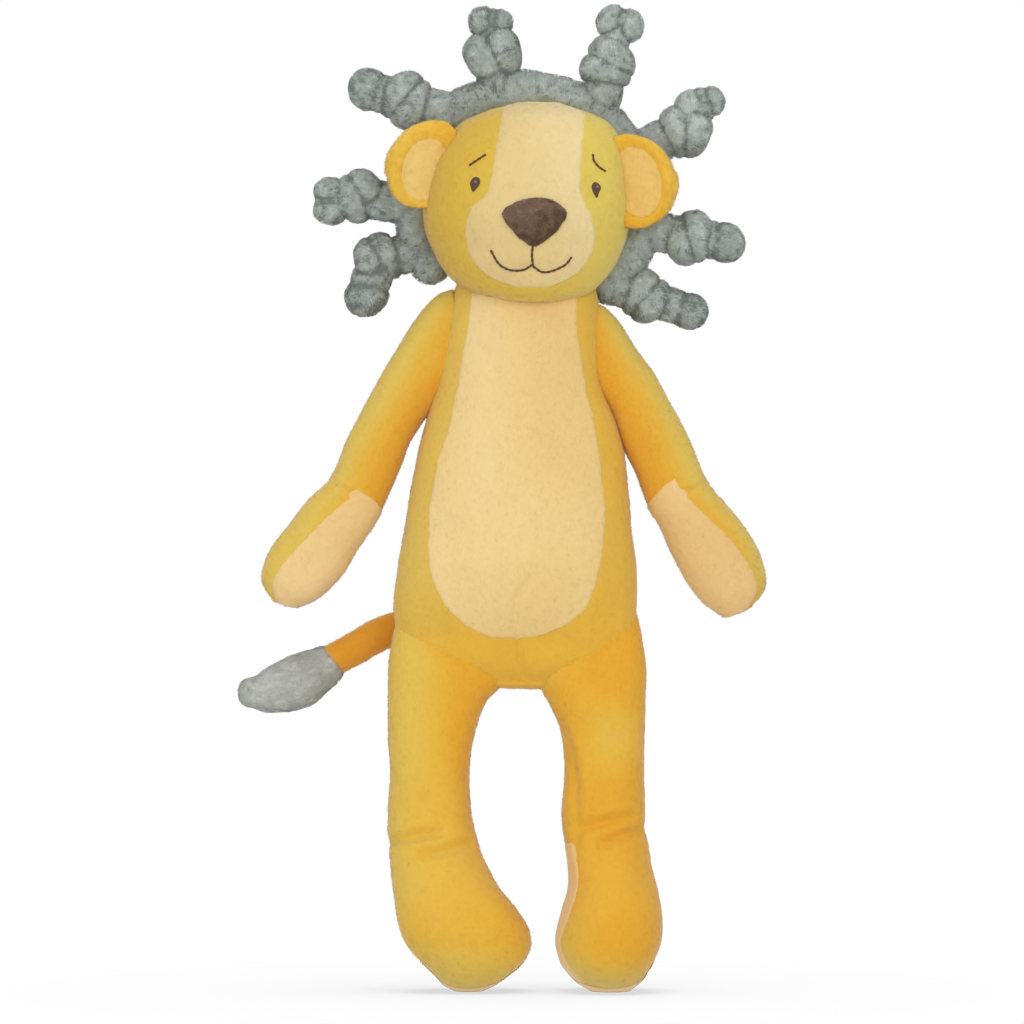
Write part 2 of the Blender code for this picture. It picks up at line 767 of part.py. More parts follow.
def make_mane_ring(parts, head_guard):
    """The fleece roll round the head, with round ends beside the chin."""
    points = []
    radii = []
    for k in range(MANE_SEGMENTS + 1):
        azimuth = MANE_START + (MANE_END - MANE_START) * k / MANE_SEGMENTS
        from_end = min(k, MANE_SEGMENTS - k)
        share = MANE_END_SHARES[from_end] if from_end < len(MANE_END_SHARES) else 1
        points.append(mane_point(azimuth, MANE_RADIUS))
        radii.append(share * MANE_THICKNESS / 2)
    ring = tube("mane_ring", points, radii, 2, parts, head_frame())
    return cut(ring, head_guard)


def knot_rows():
    """Half of an overhand knot about its own middle, in knot units: up inside, over and round.

    The strand climbs inside its own wraps, arches out over the top and winds one and a half turns
    back down. The other half is the same, turned half round. Three half turns make the knot.
    """
    across = KNOT_WRAP_SHARES["across"]
    through = KNOT_WRAP_SHARES["through"]
    rise = KNOT_WRAP_SHARES["half_length"]
    inside = KNOT_WRAP_SHARES["inside"]
    top = rise + KNOT_WRAP_SHARES["arch"]
    rows = [
        (inside, -rise - 0.9, 0),
        (inside, 0, 0),
        (inside, rise + 0.2, 0),
        (1.5 * inside, top, 0.1),
        (0.86 * across, rise + 0.95 * (top - rise), 0.55),
    ]
    first_turn = math.radians(35)
    half_way = 1.5 * math.pi
    for k in range(KNOT_WRAP_STEPS + 1):
        turn = first_turn + (half_way - first_turn) * k / KNOT_WRAP_STEPS
        height = rise * (1 - 2 * turn / (3 * math.pi))
        rows.append((across * math.cos(turn), height, through * math.sin(turn)))
    return rows


def strand_controls(lean, stem, size):
    """Rows of place and radius along a strand, in a frame with Z out from the mane ring."""
    tilt = Matrix.Rotation(math.radians(lean), 3, "Y")
    root = Vector((0, 0, MANE_THICKNESS / 2 + SEAM_GAP))
    knot = root + tilt @ Vector((0, 0, stem * KNOT_DISTANCE))
    half = [size * KNOT_UNIT * Vector((x, z, y)) for x, y, z in knot_rows()]
    other = [Vector((-point.x, point.y, -point.z)) for point in half[-2::-1]]
    rows = []
    for along, taper in STRAND_ROOT_SHARES:
        rows.append((root + Vector((0, 0, along * STRAND_ROOT_LENGTH)), taper * size * STRAND_ROOT_RADIUS))
    rows += [(knot + tilt @ point, size * STRAND_TUBE_RADIUS) for point in half + other]
    tip_radius = size * STRAND_TIP_RADIUS
    for angle in STRAND_TIP_ANGLES:
        turn = math.radians(angle)
        along = size * TIP_DISTANCE - tip_radius * math.cos(turn)
        rows.append((knot + tilt @ Vector((0, 0, along)), tip_radius * math.sin(turn)))
    return rows


def least_self_gap(points, radii):
    """The narrowest gap between stretches of one tube that aren't neighbours along it."""
    run = [0.0]
    for here, after in zip(points, points[1:]):
        run.append(run[-1] + (after - here).length)
    least = run[-1]
    for i, first in enumerate(points):
        for j in range(i + 1, len(points)):
            reach = radii[i] + radii[j]
            if run[j] - run[i] > math.pi * reach / 2 + reach:
                least = min(least, (points[j] - first).length - reach)
    return least


def strand_frame(azimuth):
    """Frame on the mane ring's middle line: Z runs outwards, Y backwards and X along the ring."""
    turn = math.radians(azimuth)
    outward = Vector((math.cos(turn), 0, math.sin(turn)))
    back = Vector((0, 1, 0))
    along = back.cross(outward)
    facing = Matrix((along, back, outward)).transposed().to_4x4()
    return head_frame() @ Matrix.Translation(mane_point(azimuth, MANE_RADIUS)) @ facing


def make_strand(number, place, parts):
    """One knotted strand of the mane: a short root, an overhand knot and a round tip."""
    azimuth, lean, stem, size = place
    rows = [(*point, radius) for point, radius in strand_controls(lean, stem, size)]
    route = smooth_route(rows, 1)
    points = [row.to_3d() for row in route]
    radii = [row[3] for row in route]
    gap = least_self_gap(points, radii)
    print("strand", number, "least gap to itself", round(gap * 1000, 2), "mm")
    if gap < STRAND_LEAST_GAP:
        print("strand", number, "is closer to itself than", STRAND_LEAST_GAP)
    return tube(f"mane_strand_{number}", points, radii, 1, parts, strand_frame(azimuth))


# Arms


def shoulder_place(side):
    """Middle of the seam that the arm swings on, just outside the torso's side."""
    half_width, _ = torso_reach_at(SHOULDER_HEIGHT_SHARE)
    centre = TORSO_LEAN * SHOULDER_HEIGHT_SHARE
    height = TORSO_BOTTOM + SHOULDER_HEIGHT_SHARE * TORSO_HEIGHT
    return Vector((centre + side * (half_width + SEAM_GAP + ROOT_PINCH), 0, height))


def seam_direction(side):
    tilt = math.radians(ARM_SEAM_TILT)
    return Vector((-side * math.sin(tilt), 0, math.cos(tilt)))


def arm_sections(side):
    place = shoulder_place(side)
    seam = seam_direction(side)
    outward = Vector((side * seam.z, 0, side * -seam.x))
    half_root = ARM_ROOT_WIDTH_SHARE * ARM_WIDTH / 2
    rows = [
        section(place - 0.95 * ROOT_PINCH * outward, 0.96 * half_root * seam, (0, 0.6 * ROOT_PINCH, 0)),
        section(place, half_root * seam, (0, ROOT_PINCH, 0)),
    ]
    for out, down, below, wide, deep in ARM_STATION_SHARES:
        turn = math.radians(below)
        across = Vector((side * math.sin(turn), 0, math.cos(turn)))
        centre = place + Vector((side * out * ARM_REACH, 0, -down * ARM_DROP))
        rows.append(section(centre, wide * ARM_WIDTH / 2 * across, (0, deep * ARM_DEPTH / 2, 0)))
    return rows


def stuffing_slot(name, outer, cutters):
    """A flat slot from the pinched root into the space for the filling."""
    root = outer[1]
    inside = thick_part(outer)[0][0]
    outside = root[0] + (root[0] - inside).normalized() * CUT_OVERRUN
    wide = root[1].normalized() * STUFFING_SLOT_WIDTH / 2
    high = root[2].normalized() * STUFFING_SLOT_HEIGHT / 2
    ends = [section(place, wide + high, high - wide) for place in (outside, inside)]
    return plain_form(name, ends, 4, cutters, Matrix())


def make_arm(side, parts, cutters, torso_guard):
    name = "arm_" + SIDE_NAMES[side]
    place = Matrix()
    outer = arm_sections(side)
    hollow = plain_form(name + "_hollow", lining(outer, SKIN), LIMB_SIDES, cutters, place)
    slot = stuffing_slot(name + "_slot", outer, cutters)
    root = shoulder_place(side)
    outline = []
    for out, down in PAW_OUTLINE_SHARES:
        outline.append(Vector((root.x + side * out * ARM_REACH, root.z - down * ARM_DROP)))
    front = -ARM_DEPTH
    around = widened(outline, SEAM_GAP)
    hole = prism(name + "_paw_hole", around, front, -SEAM_GAP, cutters, place, "VECTOR")
    patch = prism(name + "_paw_outline", outline, front, -2 * SEAM_GAP, cutters, place, "VECTOR")

    skin = soft_form(name + "_skin", outer, LIMB_SIDES, parts, place)
    for cutter in (torso_guard, hollow, slot, hole):
        cut(skin, cutter)
    paw = soft_form("paw_panel_" + SIDE_NAMES[side], outer, LIMB_SIDES, parts, place)
    cut(paw, hollow)
    cut(paw, patch, "INTERSECT")
    filling = plain_form(name + "_filling", lining(outer, SKIN + SEAM_GAP), LIMB_SIDES, parts, place)
    return skin, paw, filling


# Legs


def hip_place(side):
    return Vector((side * HIP_SPREAD_SHARE * LEG_SPREAD, 0, HIP_HEIGHT))


def foot_axes(turn, half_length, half_width):
    """Half-axes of a foot section, paired so that they keep step with the leg's own."""
    heading = math.radians(turn - 90)
    forward = Vector((math.cos(heading), math.sin(heading), 0))
    sideways = Vector((-math.sin(heading), math.cos(heading), 0))
    across = math.cos(heading) * half_length * forward - math.sin(heading) * half_width * sideways
    deep = math.sin(heading) * half_length * forward + math.cos(heading) * half_width * sideways
    return across, deep


def leg_sections(side):
    hip = hip_place(side)
    half_root = LEG_ROOT_WIDTH_SHARE * LEG_WIDTH / 2
    up = Vector((0, 0, 1))
    rows = [
        section(hip + 0.95 * ROOT_PINCH * up, (0.96 * half_root, 0, 0), (0, 0.6 * ROOT_PINCH, 0)),
        section(hip, (half_root, 0, 0), (0, ROOT_PINCH, 0)),
    ]
    for height, spread, wide, deep in LEG_STATION_SHARES:
        centre = (side * spread * LEG_SPREAD, 0, height * HIP_HEIGHT)
        rows.append(section(centre, (wide * LEG_WIDTH / 2, 0, 0), (0, deep * LEG_DEPTH / 2, 0)))
    return rows + foot_sections(side)


def foot_sections(side):
    turn = LEFT_FOOT_TURN if side == LEFT else -RIGHT_FOOT_TURN
    reach = LEFT_FOOT_FORWARD if side == LEFT else RIGHT_FOOT_FORWARD
    heading = math.radians(turn - 90)
    forward = Vector((math.cos(heading), math.sin(heading), 0)) * reach
    ankle = Vector((side * LEG_SPREAD, 0, 0))
    rows = []
    for height, ahead, length, width in FOOT_STATION_SHARES:
        axes = foot_axes(turn, length * FOOT_LENGTH / 2, width * FOOT_WIDTH / 2)
        rows.append(section(ankle + ahead * forward + Vector((0, 0, height * FOOT_HEIGHT)), *axes))
    ahead, length, width = FOOT_BOTTOM_SHARES
    axes = foot_axes(turn, length * FOOT_LENGTH / 2, width * FOOT_WIDTH / 2)
    rows.append(section(ankle + ahead * forward - Vector((0, 0, SOLE_FLAT)), *axes))
    return rows


def slab(name, low, high, cutters):
    """A wide flat box between two heights."""
    mesh = bpy.data.meshes.new(name)
    block = bmesh.new()
    bmesh.ops.create_cube(block, size=1)
    bmesh.ops.scale(block, vec=(3 * TORSO_WIDTH, 3 * TORSO_WIDTH, high - low), verts=block.verts)
    block.to_mesh(mesh)
    block.free()
    return add_object(name, mesh, cutters, Matrix.Translation((0, 0, (low + high) / 2)))


def make_leg(side, parts, cutters, torso_guard):
    name = "leg_" + SIDE_NAMES[side]
    place = Matrix()
    outer = leg_sections(side)
    hollow = plain_form(name + "_hollow", lining(outer, SKIN), LIMB_SIDES, cutters, place)
    slot = stuffing_slot(name + "_slot", outer, cutters)
    sole_zone = slab(name + "_sole_zone", 0, SOLE_HEIGHT, cutters)
    upper_zone = slab(name + "_upper_zone", -CUT_OVERRUN, SOLE_HEIGHT + SEAM_GAP, cutters)

    skin = soft_form(name + "_skin", outer, LIMB_SIDES, parts, place)
    for cutter in (torso_guard, hollow, slot, upper_zone):
        cut(skin, cutter)
    sole = soft_form("sole_panel_" + SIDE_NAMES[side], outer, LIMB_SIDES, parts, place)
    cut(sole, sole_zone, "INTERSECT")
    cut(sole, hollow)
    filling = plain_form(name + "_filling", lining(outer, SKIN + SEAM_GAP), LIMB_SIDES, parts, place)
    return skin, sole, filling


# Tail


def tail_root():
    _, half_depth = torso_reach_at(TAIL_HEIGHT_SHARE)
    height = TORSO_BOTTOM + TAIL_HEIGHT_SHARE * TORSO_HEIGHT
    return Vector((-TAIL_OFFSET, half_depth + SEAM_GAP + TAIL_RADIUS, height))


def tail_point(sideways, back, up):
    return tail_root() + Vector((-sideways, back, up)) * TAIL_REACH


def make_tail(parts, torso_guard):
    route = smooth_route([tail_point(*shares) for shares in TAIL_ROUTE_SHARES], 2)
    inward = (route[0] - route[1]).normalized() * TAIL_RADIUS
    points = [route[0] + 0.75 * inward, route[0] + 0.4 * inward] + route
    radii = [0.55 * TAIL_RADIUS, 0.88 * TAIL_RADIUS] + [TAIL_RADIUS] * len(route)
    tail = tube("tail", points, radii, 2, parts, Matrix())
    return cut(tail, torso_guard)


def make_tuft(parts):
    """The fleece tuft, a pointed lobe that starts flat against the end of the tail."""
    centres = [tail_point(*shares[:3]) for shares in TUFT_ROUTE_SHARES]
    heading = (tail_point(*TAIL_ROUTE_SHARES[-1]) - tail_point(*TAIL_ROUTE_SHARES[-2])).normalized()
    rows = []
    for k, shares in enumerate(TUFT_ROUTE_SHARES):
        if k:
            heading = (centres[min(k + 1, len(centres) - 1)] - centres[k - 1]).normalized()
        across = heading.cross(Vector((0, 1, 0))).normalized() * shares[3] * TUFT_RADIUS
        deep = across.cross(heading).normalized() * shares[3] * TUFT_RADIUS
        rows.append(section(centres[k] + heading * (0 if k else SEAM_GAP), across, deep))
    return soft_form("tail_tuft", rows, LIMB_SIDES, parts, Matrix())


# Colours, as linear red, green and blue

YELLOW = (0.64, 0.44, 0.09)
ORANGE_YELLOW = (0.75, 0.44, 0.06)
CREAM = (0.79, 0.60, 0.27)
GREY = (0.30, 0.33, 0.29)
BROWN = (0.16, 0.094, 0.06)
THREAD_BROWN = (0.08, 0.04, 0.025)
WHITE = (0.85, 0.85, 0.82)
TAIL_ORANGE = (0.637, 0.29, 0.036)
LINING_ORANGE = (0.71, 0.467, 0.128)


COLOUR_WORDS = (
    # the first word that a piece's name holds gives its colour
    ("panel", CREAM), ("filling", WHITE), ("mane", GREY), ("tuft", GREY), ("nose", BROWN),
    ("eye", THREAD_BROWN), ("lining", LINING_ORANGE), ("leg", ORANGE_YELLOW), ("arm", ORANGE_YELLOW),
    ("tail", TAIL_ORANGE), ("", YELLOW),
)


def paint_all(pieces):
    for piece in pieces:
        colour = next(shade for word, shade in COLOUR_WORDS if word in piece.name)
        paint(piece, colour, 0.9)


# Assembly


def centre_on_floor(base, pieces):
    """Move everything so that the middle of the toy's box stands over the origin."""
    bpy.context.view_layer.update()
    graph = bpy.context.evaluated_depsgraph_get()
    corners = []
    for piece in pieces:
        solid = piece.evaluated_get(graph)
        corners += [solid.matrix_world @ Vector(corner) for corner in solid.bound_box]
    middle_x = (min(c.x for c in corners) + max(c.x for c in corners)) / 2
    middle_y = (min(c.y for c in corners) + max(c.y for c in corners)) / 2
    base.location = (-middle_x, -middle_y, 0)
    bpy.context.view_layer.update()


def describe(joints):
    """Print each joint's place and axis, in the toy's own frame."""
    for joint in joints:
        place = joint.empty.matrix_world.translation
        axis = joint.empty.matrix_world.to_3x3() @ Vector((0, 0, 1))
        print("joint", joint.name, [round(v, 5) for v in place], [round(v, 5) for v in axis])


def build():
    clear_scene()
    parts = new_collection(TOY_NAME)
    cutters = new_collection("cutters")

    base = bpy.data.objects.new("toy_base", None)
    bpy.context.scene.collection.objects.link(base)
    torso_guard = make_torso_guard(cutters)
    head_guard = make_head_guard("head_guard", SEAM_GAP, cutters)

    torso = make_torso(parts, cutters)
    neck_seam = make_neck_seam(parts)
    head = make_head(parts, cutters)
    eyes = make_eyes(parts, cutters, head_guard)
    nose = make_nose(parts, head_guard)
    ring = make_mane_ring(parts, head_guard)

    neck_turn = Joint("neck_turn", NECK_PLACE, (0, 0, 1), base)
    neck_turn.carry(neck_seam)
    head_nod = Joint("head_nod", NECK_PLACE, (1, 0, 0), neck_turn.empty)
    head_nod.carry(*head, *eyes.values(), nose, ring)
    joints = [neck_turn, head_nod]

    for side in (LEFT, RIGHT):
        ear = make_ear(side, parts, cutters)
        frame = ear_frame(side)
        fold = Joint("ear_fold_" + SIDE_NAMES[side], frame.translation, frame.to_3x3() @ Vector((1, 0, 0)),
                     head_nod.empty)
        fold.carry(*ear)
        joints.append(fold)
    for number, place in enumerate(STRAND_PLACES, start=1):
        strand = make_strand(number, place, parts)
        frame = strand_frame(place[0])
        flop = Joint(f"strand_flop_{number}", frame.translation, frame.to_3x3() @ Vector((1, 0, 0)),
                     head_nod.empty)
        flop.carry(strand)
        joints.append(flop)
    for side in (LEFT, RIGHT):
        arm = make_arm(side, parts, cutters, torso_guard)
        swing = Joint("shoulder_" + SIDE_NAMES[side], shoulder_place(side), seam_direction(side), base)
        swing.carry(*arm)
        joints.append(swing)
    for side in (LEFT, RIGHT):
        leg = make_leg(side, parts, cutters, torso_guard)
        hip = Joint("hip_" + SIDE_NAMES[side], hip_place(side), (1, 0, 0), base)
        hip.carry(*leg)
        joints.append(hip)
    tail = make_tail(parts, torso_guard)
    tuft = make_tuft(parts)
    tail_swing = Joint("tail_swing", tail_root(), (0, 0, 1), base)
    tail_swing.carry(tail, tuft)
    joints.append(tail_swing)

    for piece in torso:
        hang(piece, base)
    for cutter in cutters.objects:
        finish_cutter(cutter)
        hang(cutter, base)
    paint_all(parts.objects)
    centre_on_floor(base, parts.objects)
    describe(joints)


build()
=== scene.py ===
"""Looks of the plush lion: soft forms, pile, thread work, cloth shaders, camera and light.

Outlines are places in the photograph, in pixels, as x and y. Depths count from the plane of the neck
joint, in metres where nothing else is said. "front" counts forwards, to -Y, and "back" counts
backwards. Left and right are the lion's own.
"""

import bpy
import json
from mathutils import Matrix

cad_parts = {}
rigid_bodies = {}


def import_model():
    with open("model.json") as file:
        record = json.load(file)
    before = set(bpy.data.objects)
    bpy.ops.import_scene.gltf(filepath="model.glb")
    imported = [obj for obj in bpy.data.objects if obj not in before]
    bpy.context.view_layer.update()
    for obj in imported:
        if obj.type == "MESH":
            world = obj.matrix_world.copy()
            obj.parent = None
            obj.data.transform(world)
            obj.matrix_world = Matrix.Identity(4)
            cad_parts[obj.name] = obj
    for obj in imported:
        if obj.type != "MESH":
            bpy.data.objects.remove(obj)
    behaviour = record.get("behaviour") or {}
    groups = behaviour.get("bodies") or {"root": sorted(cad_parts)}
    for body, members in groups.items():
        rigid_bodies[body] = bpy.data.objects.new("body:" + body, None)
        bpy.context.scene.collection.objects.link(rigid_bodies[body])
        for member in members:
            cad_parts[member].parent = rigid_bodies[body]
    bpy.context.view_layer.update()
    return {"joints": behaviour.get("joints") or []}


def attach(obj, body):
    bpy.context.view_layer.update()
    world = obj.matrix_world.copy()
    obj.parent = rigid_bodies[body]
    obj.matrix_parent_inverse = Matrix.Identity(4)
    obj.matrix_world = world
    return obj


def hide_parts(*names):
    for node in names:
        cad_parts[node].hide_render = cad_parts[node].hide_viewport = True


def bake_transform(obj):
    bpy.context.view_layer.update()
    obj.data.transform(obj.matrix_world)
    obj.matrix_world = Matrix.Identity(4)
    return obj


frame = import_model()

import copy
import json
import math
from collections import namedtuple

import bpy
import numpy as np
from mathutils import Vector
from mathutils.bvhtree import BVHTree

# Photograph to world
PIXEL = 0.000406
PHOTO_MIDDLE_X = 517
PHOTO_FLOOR_Y = 990
MODEL_NECK_X = 0.0015
IMAGE_SIZE = 1024
CAMERA_DISTANCE = 3.0
CAMERA_END = 20
SENSOR_WIDTH = 36.0
NECK = next(joint for joint in frame["joints"] if joint["name"] == "neck_turn")["pos_m"]
SIDES = ("right", "left")

# Mesh spacing and counts
SPACING = 0.0009
CURVE_STEPS = 32
CURVE_LEAST = 4
PATCH_LEAST = 8
CAP_STEPS = 12
CAP_BACK = 3
TUBE_CAP_STEPS = 6
TUBE_AWAY = (0.31, 0.87, 0.38)
PLACING_STEPS = 5
TINY = 1e-12

# Noise
LATTICE_PRIMES = (73856093, 19349663, 83492791)
HASH_STEPS = ((15, 2246822519), (13, 3266489917))
HASH_LAST = 16
HASH_MASK = 0xFFFFFFFF

# Cloth
LUMP_SIZE = 0.014
LUMP_DEPTH = 0.0005
LUMP_SEED = 3.7
NAP_SIZE = 0.0024
NAP_DEPTH = 0.00010
NAP_SEEDS = (11.3, 5.9)
DRIFT_SIZE = 0.028
DRIFT_SEED = 8.3
PANEL_PROUD = 0.0005
PANEL_TUCK = 0.0010
PANEL_SINK = 0.0024
PANEL_EDGE_STEPS = 4
PANEL_HIDDEN_PIXELS = 2.5
PANEL_MARGIN_PIXELS = 6
PANEL_CLEARANCE = 0.0003
BORDER_SIZE = 0.0016
BORDER_DEPTH = 0.0005
BORDER_SEEDS = (0.7, 9.2)
CREASE_WIDTH = 0.0012
FOLD_WIDTH = 0.0022
ROLL_SHARE = 0.2
ROLL_AWAY = 2
CREASE_FACING = (2, 0.4)
FRONT_LIMIT = -0.1
PILE_LIMIT = 0.3

# Pile: how far a hair leans, its length, width and curl, and whether it is bent
Hair = namedtuple("Hair", "lean length width curl bent")
SHORT_HAIR = Hair(1.2, 0.0011, 0.00020, 0.5, False)
EAR_HAIR = SHORT_HAIR._replace(length=0.0019)
LONG_HAIR = Hair(0.7, 0.0021, 0.00026, 0.7, True)
TUFT_HAIR = LONG_HAIR._replace(lean=1.6)
NOSE_HAIR = Hair(1.4, 0.0020, 0.00022, 0.8, True)
# The hair, hairs to a square metre and seed of each pile
PILES = {
    "head": (SHORT_HAIR, 1.1e6, 1),
    "face": (SHORT_HAIR, 1.4e6, 2),
    "nose": (NOSE_HAIR, 9e6, 5),
    "ear": (EAR_HAIR, 3.0e6, 21),
    "lining": (SHORT_HAIR, 3.0e6, 22),
    "strand": (LONG_HAIR, 4.0e6, 30),
    "ring": (LONG_HAIR, 1.8e6, 50),
    "torso": (SHORT_HAIR, 0.9e6, 60),
    "belly": (SHORT_HAIR, 1.4e6, 61),
    "arm": (SHORT_HAIR, 1.4e6, 70),
    "paw": (SHORT_HAIR, 1.4e6, 71),
    "leg": (SHORT_HAIR, 1.2e6, 80),
    "tail": (SHORT_HAIR, 1.8e6, 90),
    "tuft": (TUFT_HAIR, 4.2e6, 91),
}
TUFT_SIZE = 0.0022
TUFT_SEEDS = (0.3, 1.7, 2.9)
TUFT_PULL = 0.9
LAY_SCATTER = 0.28
LENGTH_LEAST = 0.7
LENGTH_SCATTER = 0.3
LENGTH_DRIFT = 0.25
LENGTH_SEED = 7.1
SIDE_SHIFT = 0.01
SIDE_SCATTER = 0.4
SHADE_SCATTER = 0.2
SHADE_SEED = 4.4
SHADE_BORDERS = (0.33, 0.67)
HAIR_WAIST_SHARE = 0.42
HAIR_ROUNDNESS = 0.35
TIP_ROUNDNESS = 0.3

# Fleece
RING_RADIUS = 0.0465
RING_TUBE = 0.0077
RING_CENTRE = (527, 205)
RING_DEPTH = 0.008
RING_START = -44
RING_END = 212
RING_POINTS = 180
RING_SIDES = 56
RING_SWELL = (0.09, 0.011, 2.2)
RING_LUMPS = (0.0009, 0.006, 4.1)
RING_LAY = (1, 0.4, 1)
ROOT_STEM = 0.0074
TIP_STEM_SHARE = 0.93
TIP_LOBE_PARTS = 5
STRAND_SIDES = 40
STRAND_LUMPS = (0.0004, 0.007)
STRAND_LAY = 0.6
TURN_TUBE_SHARE = 0.64
TURNS_APART_SHARE = 0.28
TURNS_CROSS = math.radians(14)
TURN_POINTS = 33
TURN_SIDES = 28
TURN_AWAY = (0.2, 1.0, 0.3)
FOLD_GAP = 0.0007
FOLD_DEPTH = 0.0004
# Painted shade: how much darker a strand's colour gets in its folds
FOLD_PAINTED_SHADE = 0.35
REMESH_SIZE = 0.0008
REMESH_SMOOTHING = 6

# Colours, linear: deep, middle and light
HEAD_YELLOW = ((0.680, 0.435, 0.056), (0.720, 0.500, 0.075), (0.755, 0.590, 0.118))
BODY_YELLOW = ((0.790, 0.460, 0.050), (0.760, 0.480, 0.072), (0.745, 0.515, 0.102))
ARM_YELLOW = ((0.775, 0.385, 0.034), (0.765, 0.445, 0.055), (0.740, 0.520, 0.100))
LEG_YELLOW = ((0.795, 0.405, 0.033), (0.790, 0.465, 0.053), (0.755, 0.530, 0.095))
FACE_CREAM = ((0.715, 0.525, 0.225), (0.775, 0.595, 0.270), (0.850, 0.695, 0.365))
BELLY_CREAM = ((0.800, 0.550, 0.205), (0.850, 0.615, 0.255), (0.870, 0.665, 0.325))
PAW_CREAM = ((0.780, 0.503, 0.195), (0.830, 0.560, 0.235), (0.870, 0.630, 0.300))
EAR_YELLOW = ((0.820, 0.450, 0.040), (0.840, 0.520, 0.070), (0.860, 0.600, 0.110))
LINING_ORANGE = ((0.760, 0.450, 0.110), (0.820, 0.530, 0.155), (0.860, 0.600, 0.205))
TAIL_ORANGE = ((0.740, 0.330, 0.030), (0.820, 0.415, 0.043), (0.870, 0.500, 0.062))
GREY = ((0.250, 0.280, 0.255), (0.485, 0.540, 0.500), (0.680, 0.740, 0.690))
# Painted shade: the strands' grey, darkened, for the ring that lies behind the head
RING_SHADED_GREY = ((0.210, 0.235, 0.215), (0.400, 0.445, 0.410), (0.570, 0.615, 0.575))
TUFT_GREY = ((0.440, 0.455, 0.412), (0.560, 0.575, 0.530), (0.680, 0.695, 0.645))
BROWN = ((0.140, 0.082, 0.050), (0.230, 0.145, 0.095), (0.330, 0.225, 0.160))
THREAD = (0.095, 0.054, 0.034)
SHINE = (0.240, 0.175, 0.130)
WHITE = (1, 1, 1, 1)

# Outlines: left and right ends of each section in the photograph, then front and back in tenths
# of a millimetre
DEPTH_STEPS = 10000
HEAD_ROWS = (
    (514, 105.5, 564, 105.5, 125, 70), (492, 110, 580, 110, 185, 115), (471, 118, 601, 118, 255, 180),
    (457, 127, 613, 127, 290, 220), (441, 146, 624, 146, 350, 270), (431, 166, 629, 166, 380, 300),
    (425, 188, 631, 188, 397, 317), (423, 213, 631, 213, 400, 320), (426, 232, 628, 232, 396, 316),
    (432, 248, 623, 248, 380, 300), (442, 267, 614, 267, 370, 260), (457, 283, 601, 283, 345, 200),
    (474, 294, 587, 294, 315, 150), (500, 301, 566, 301, 270, 80),
)
TORSO_ROWS = (
    (458, 284, 592, 284, 165, 190), (454, 296, 597, 296, 195, 205), (446, 335, 599, 335, 228, 215),
    (437, 383, 602, 383, 243, 225), (426, 418, 615, 418, 258, 235), (417, 454, 624, 454, 275, 250),
    (410, 500, 629, 500, 292, 270), (403, 537, 633, 537, 300, 280), (397, 572, 636, 572, 298, 283),
    (394, 608, 636, 608, 262, 258), (396, 637, 637, 637, 205, 205), (408, 664, 628, 664, 150, 145),
    (432, 682, 604, 682, 85, 85),
)
ARM_ROWS = {
    "right": (
        (452, 290, 463, 390, 90, 90), (437, 297, 444, 398, 105, 105), (421, 313, 430, 414, 112, 112),
        (404, 338, 417, 432, 115, 115), (386, 366, 409, 446, 115, 115), (366, 402, 403, 462, 114, 114),
        (347, 438, 394, 482, 114, 114), (329, 480, 381, 510, 116, 114), (309, 500, 369, 530, 124, 120),
        (288, 526, 356, 550, 130, 124), (270, 551, 341, 574, 130, 124), (262, 575, 326, 591, 120, 114),
        (265, 588, 313, 600, 98, 92), (273, 599, 299, 606, 64, 60),
    ),
    "left": (
        (586, 392, 594, 302, 90, 90), (599, 402, 607, 310, 105, 105), (611, 418, 622, 328, 112, 112),
        (618, 436, 637, 350, 115, 115), (625, 452, 655, 374, 115, 115), (634, 470, 672, 406, 114, 114),
        (642, 488, 690, 441, 114, 114), (650, 508, 708, 483, 116, 114), (661, 528, 724, 503, 124, 120),
        (672, 552, 743, 524, 130, 124), (686, 577, 759, 550, 130, 124), (700, 597, 767, 577, 120, 114),
        (711, 608, 764, 593, 98, 92), (723, 616, 753, 607, 64, 60),
    ),
}
LEG_ROWS = {
    "right": (
        (399, 614, 500, 658, 125, 115), (391, 641, 503, 682, 155, 145), (388, 695, 486, 704, 163, 155),
        (388, 735, 474, 738, 166, 160), (389, 769, 470, 772, 173, 168), (388, 805, 471, 806, 175, 170),
        (387, 831, 475, 832, 182, 167), (389, 860, 484, 861, 222, 155), (392, 887, 499, 887, 262, 148),
        (396, 911, 516, 911, 290, 145), (401, 931, 528, 930, 300, 140), (410, 948, 530, 948, 290, 132),
        (424, 964, 521, 963, 265, 122), (437, 976, 507, 975, 225, 100), (444, 984, 495, 984, 175, 75),
        (454, 989, 484, 989, 105, 40),
    ),
    "left": (
        (534, 664, 637, 614, 125, 115), (540, 684, 643, 641, 155, 145), (554, 712, 646, 698, 163, 155),
        (562, 744, 645, 742, 166, 160), (564, 780, 644, 780, 173, 168), (563, 812, 643, 812, 176, 170),
        (563, 834, 644, 832, 186, 170), (568, 862, 650, 862, 240, 175), (569, 888, 657, 888, 300, 182),
        (563, 913, 662, 913, 340, 187), (557, 938, 662, 938, 352, 187), (560, 957, 656, 957, 340, 178),
        (568, 971, 648, 971, 300, 150), (577, 981, 640, 981, 240, 115), (590, 989, 630, 989, 140, 60),
    ),
}
EAR_ROWS = {
    "right": (
        (456, 131, 432, 207, 200, -150), (446, 122, 418, 208, 215, -135), (430, 121, 404, 205, 222, -130),
        (411, 127, 394, 196, 222, -130), (398, 139, 389, 185, 215, -135), (390, 151, 386, 173, 200, -150),
    ),
    "left": (
        (620, 226, 612, 138, 205, -145), (634, 228, 624, 134, 215, -135), (648, 226, 640, 136, 222, -130),
        (663, 217, 657, 144, 222, -130), (672, 206, 668, 157, 215, -135), (677, 193, 675, 172, 200, -150),
    ),
}
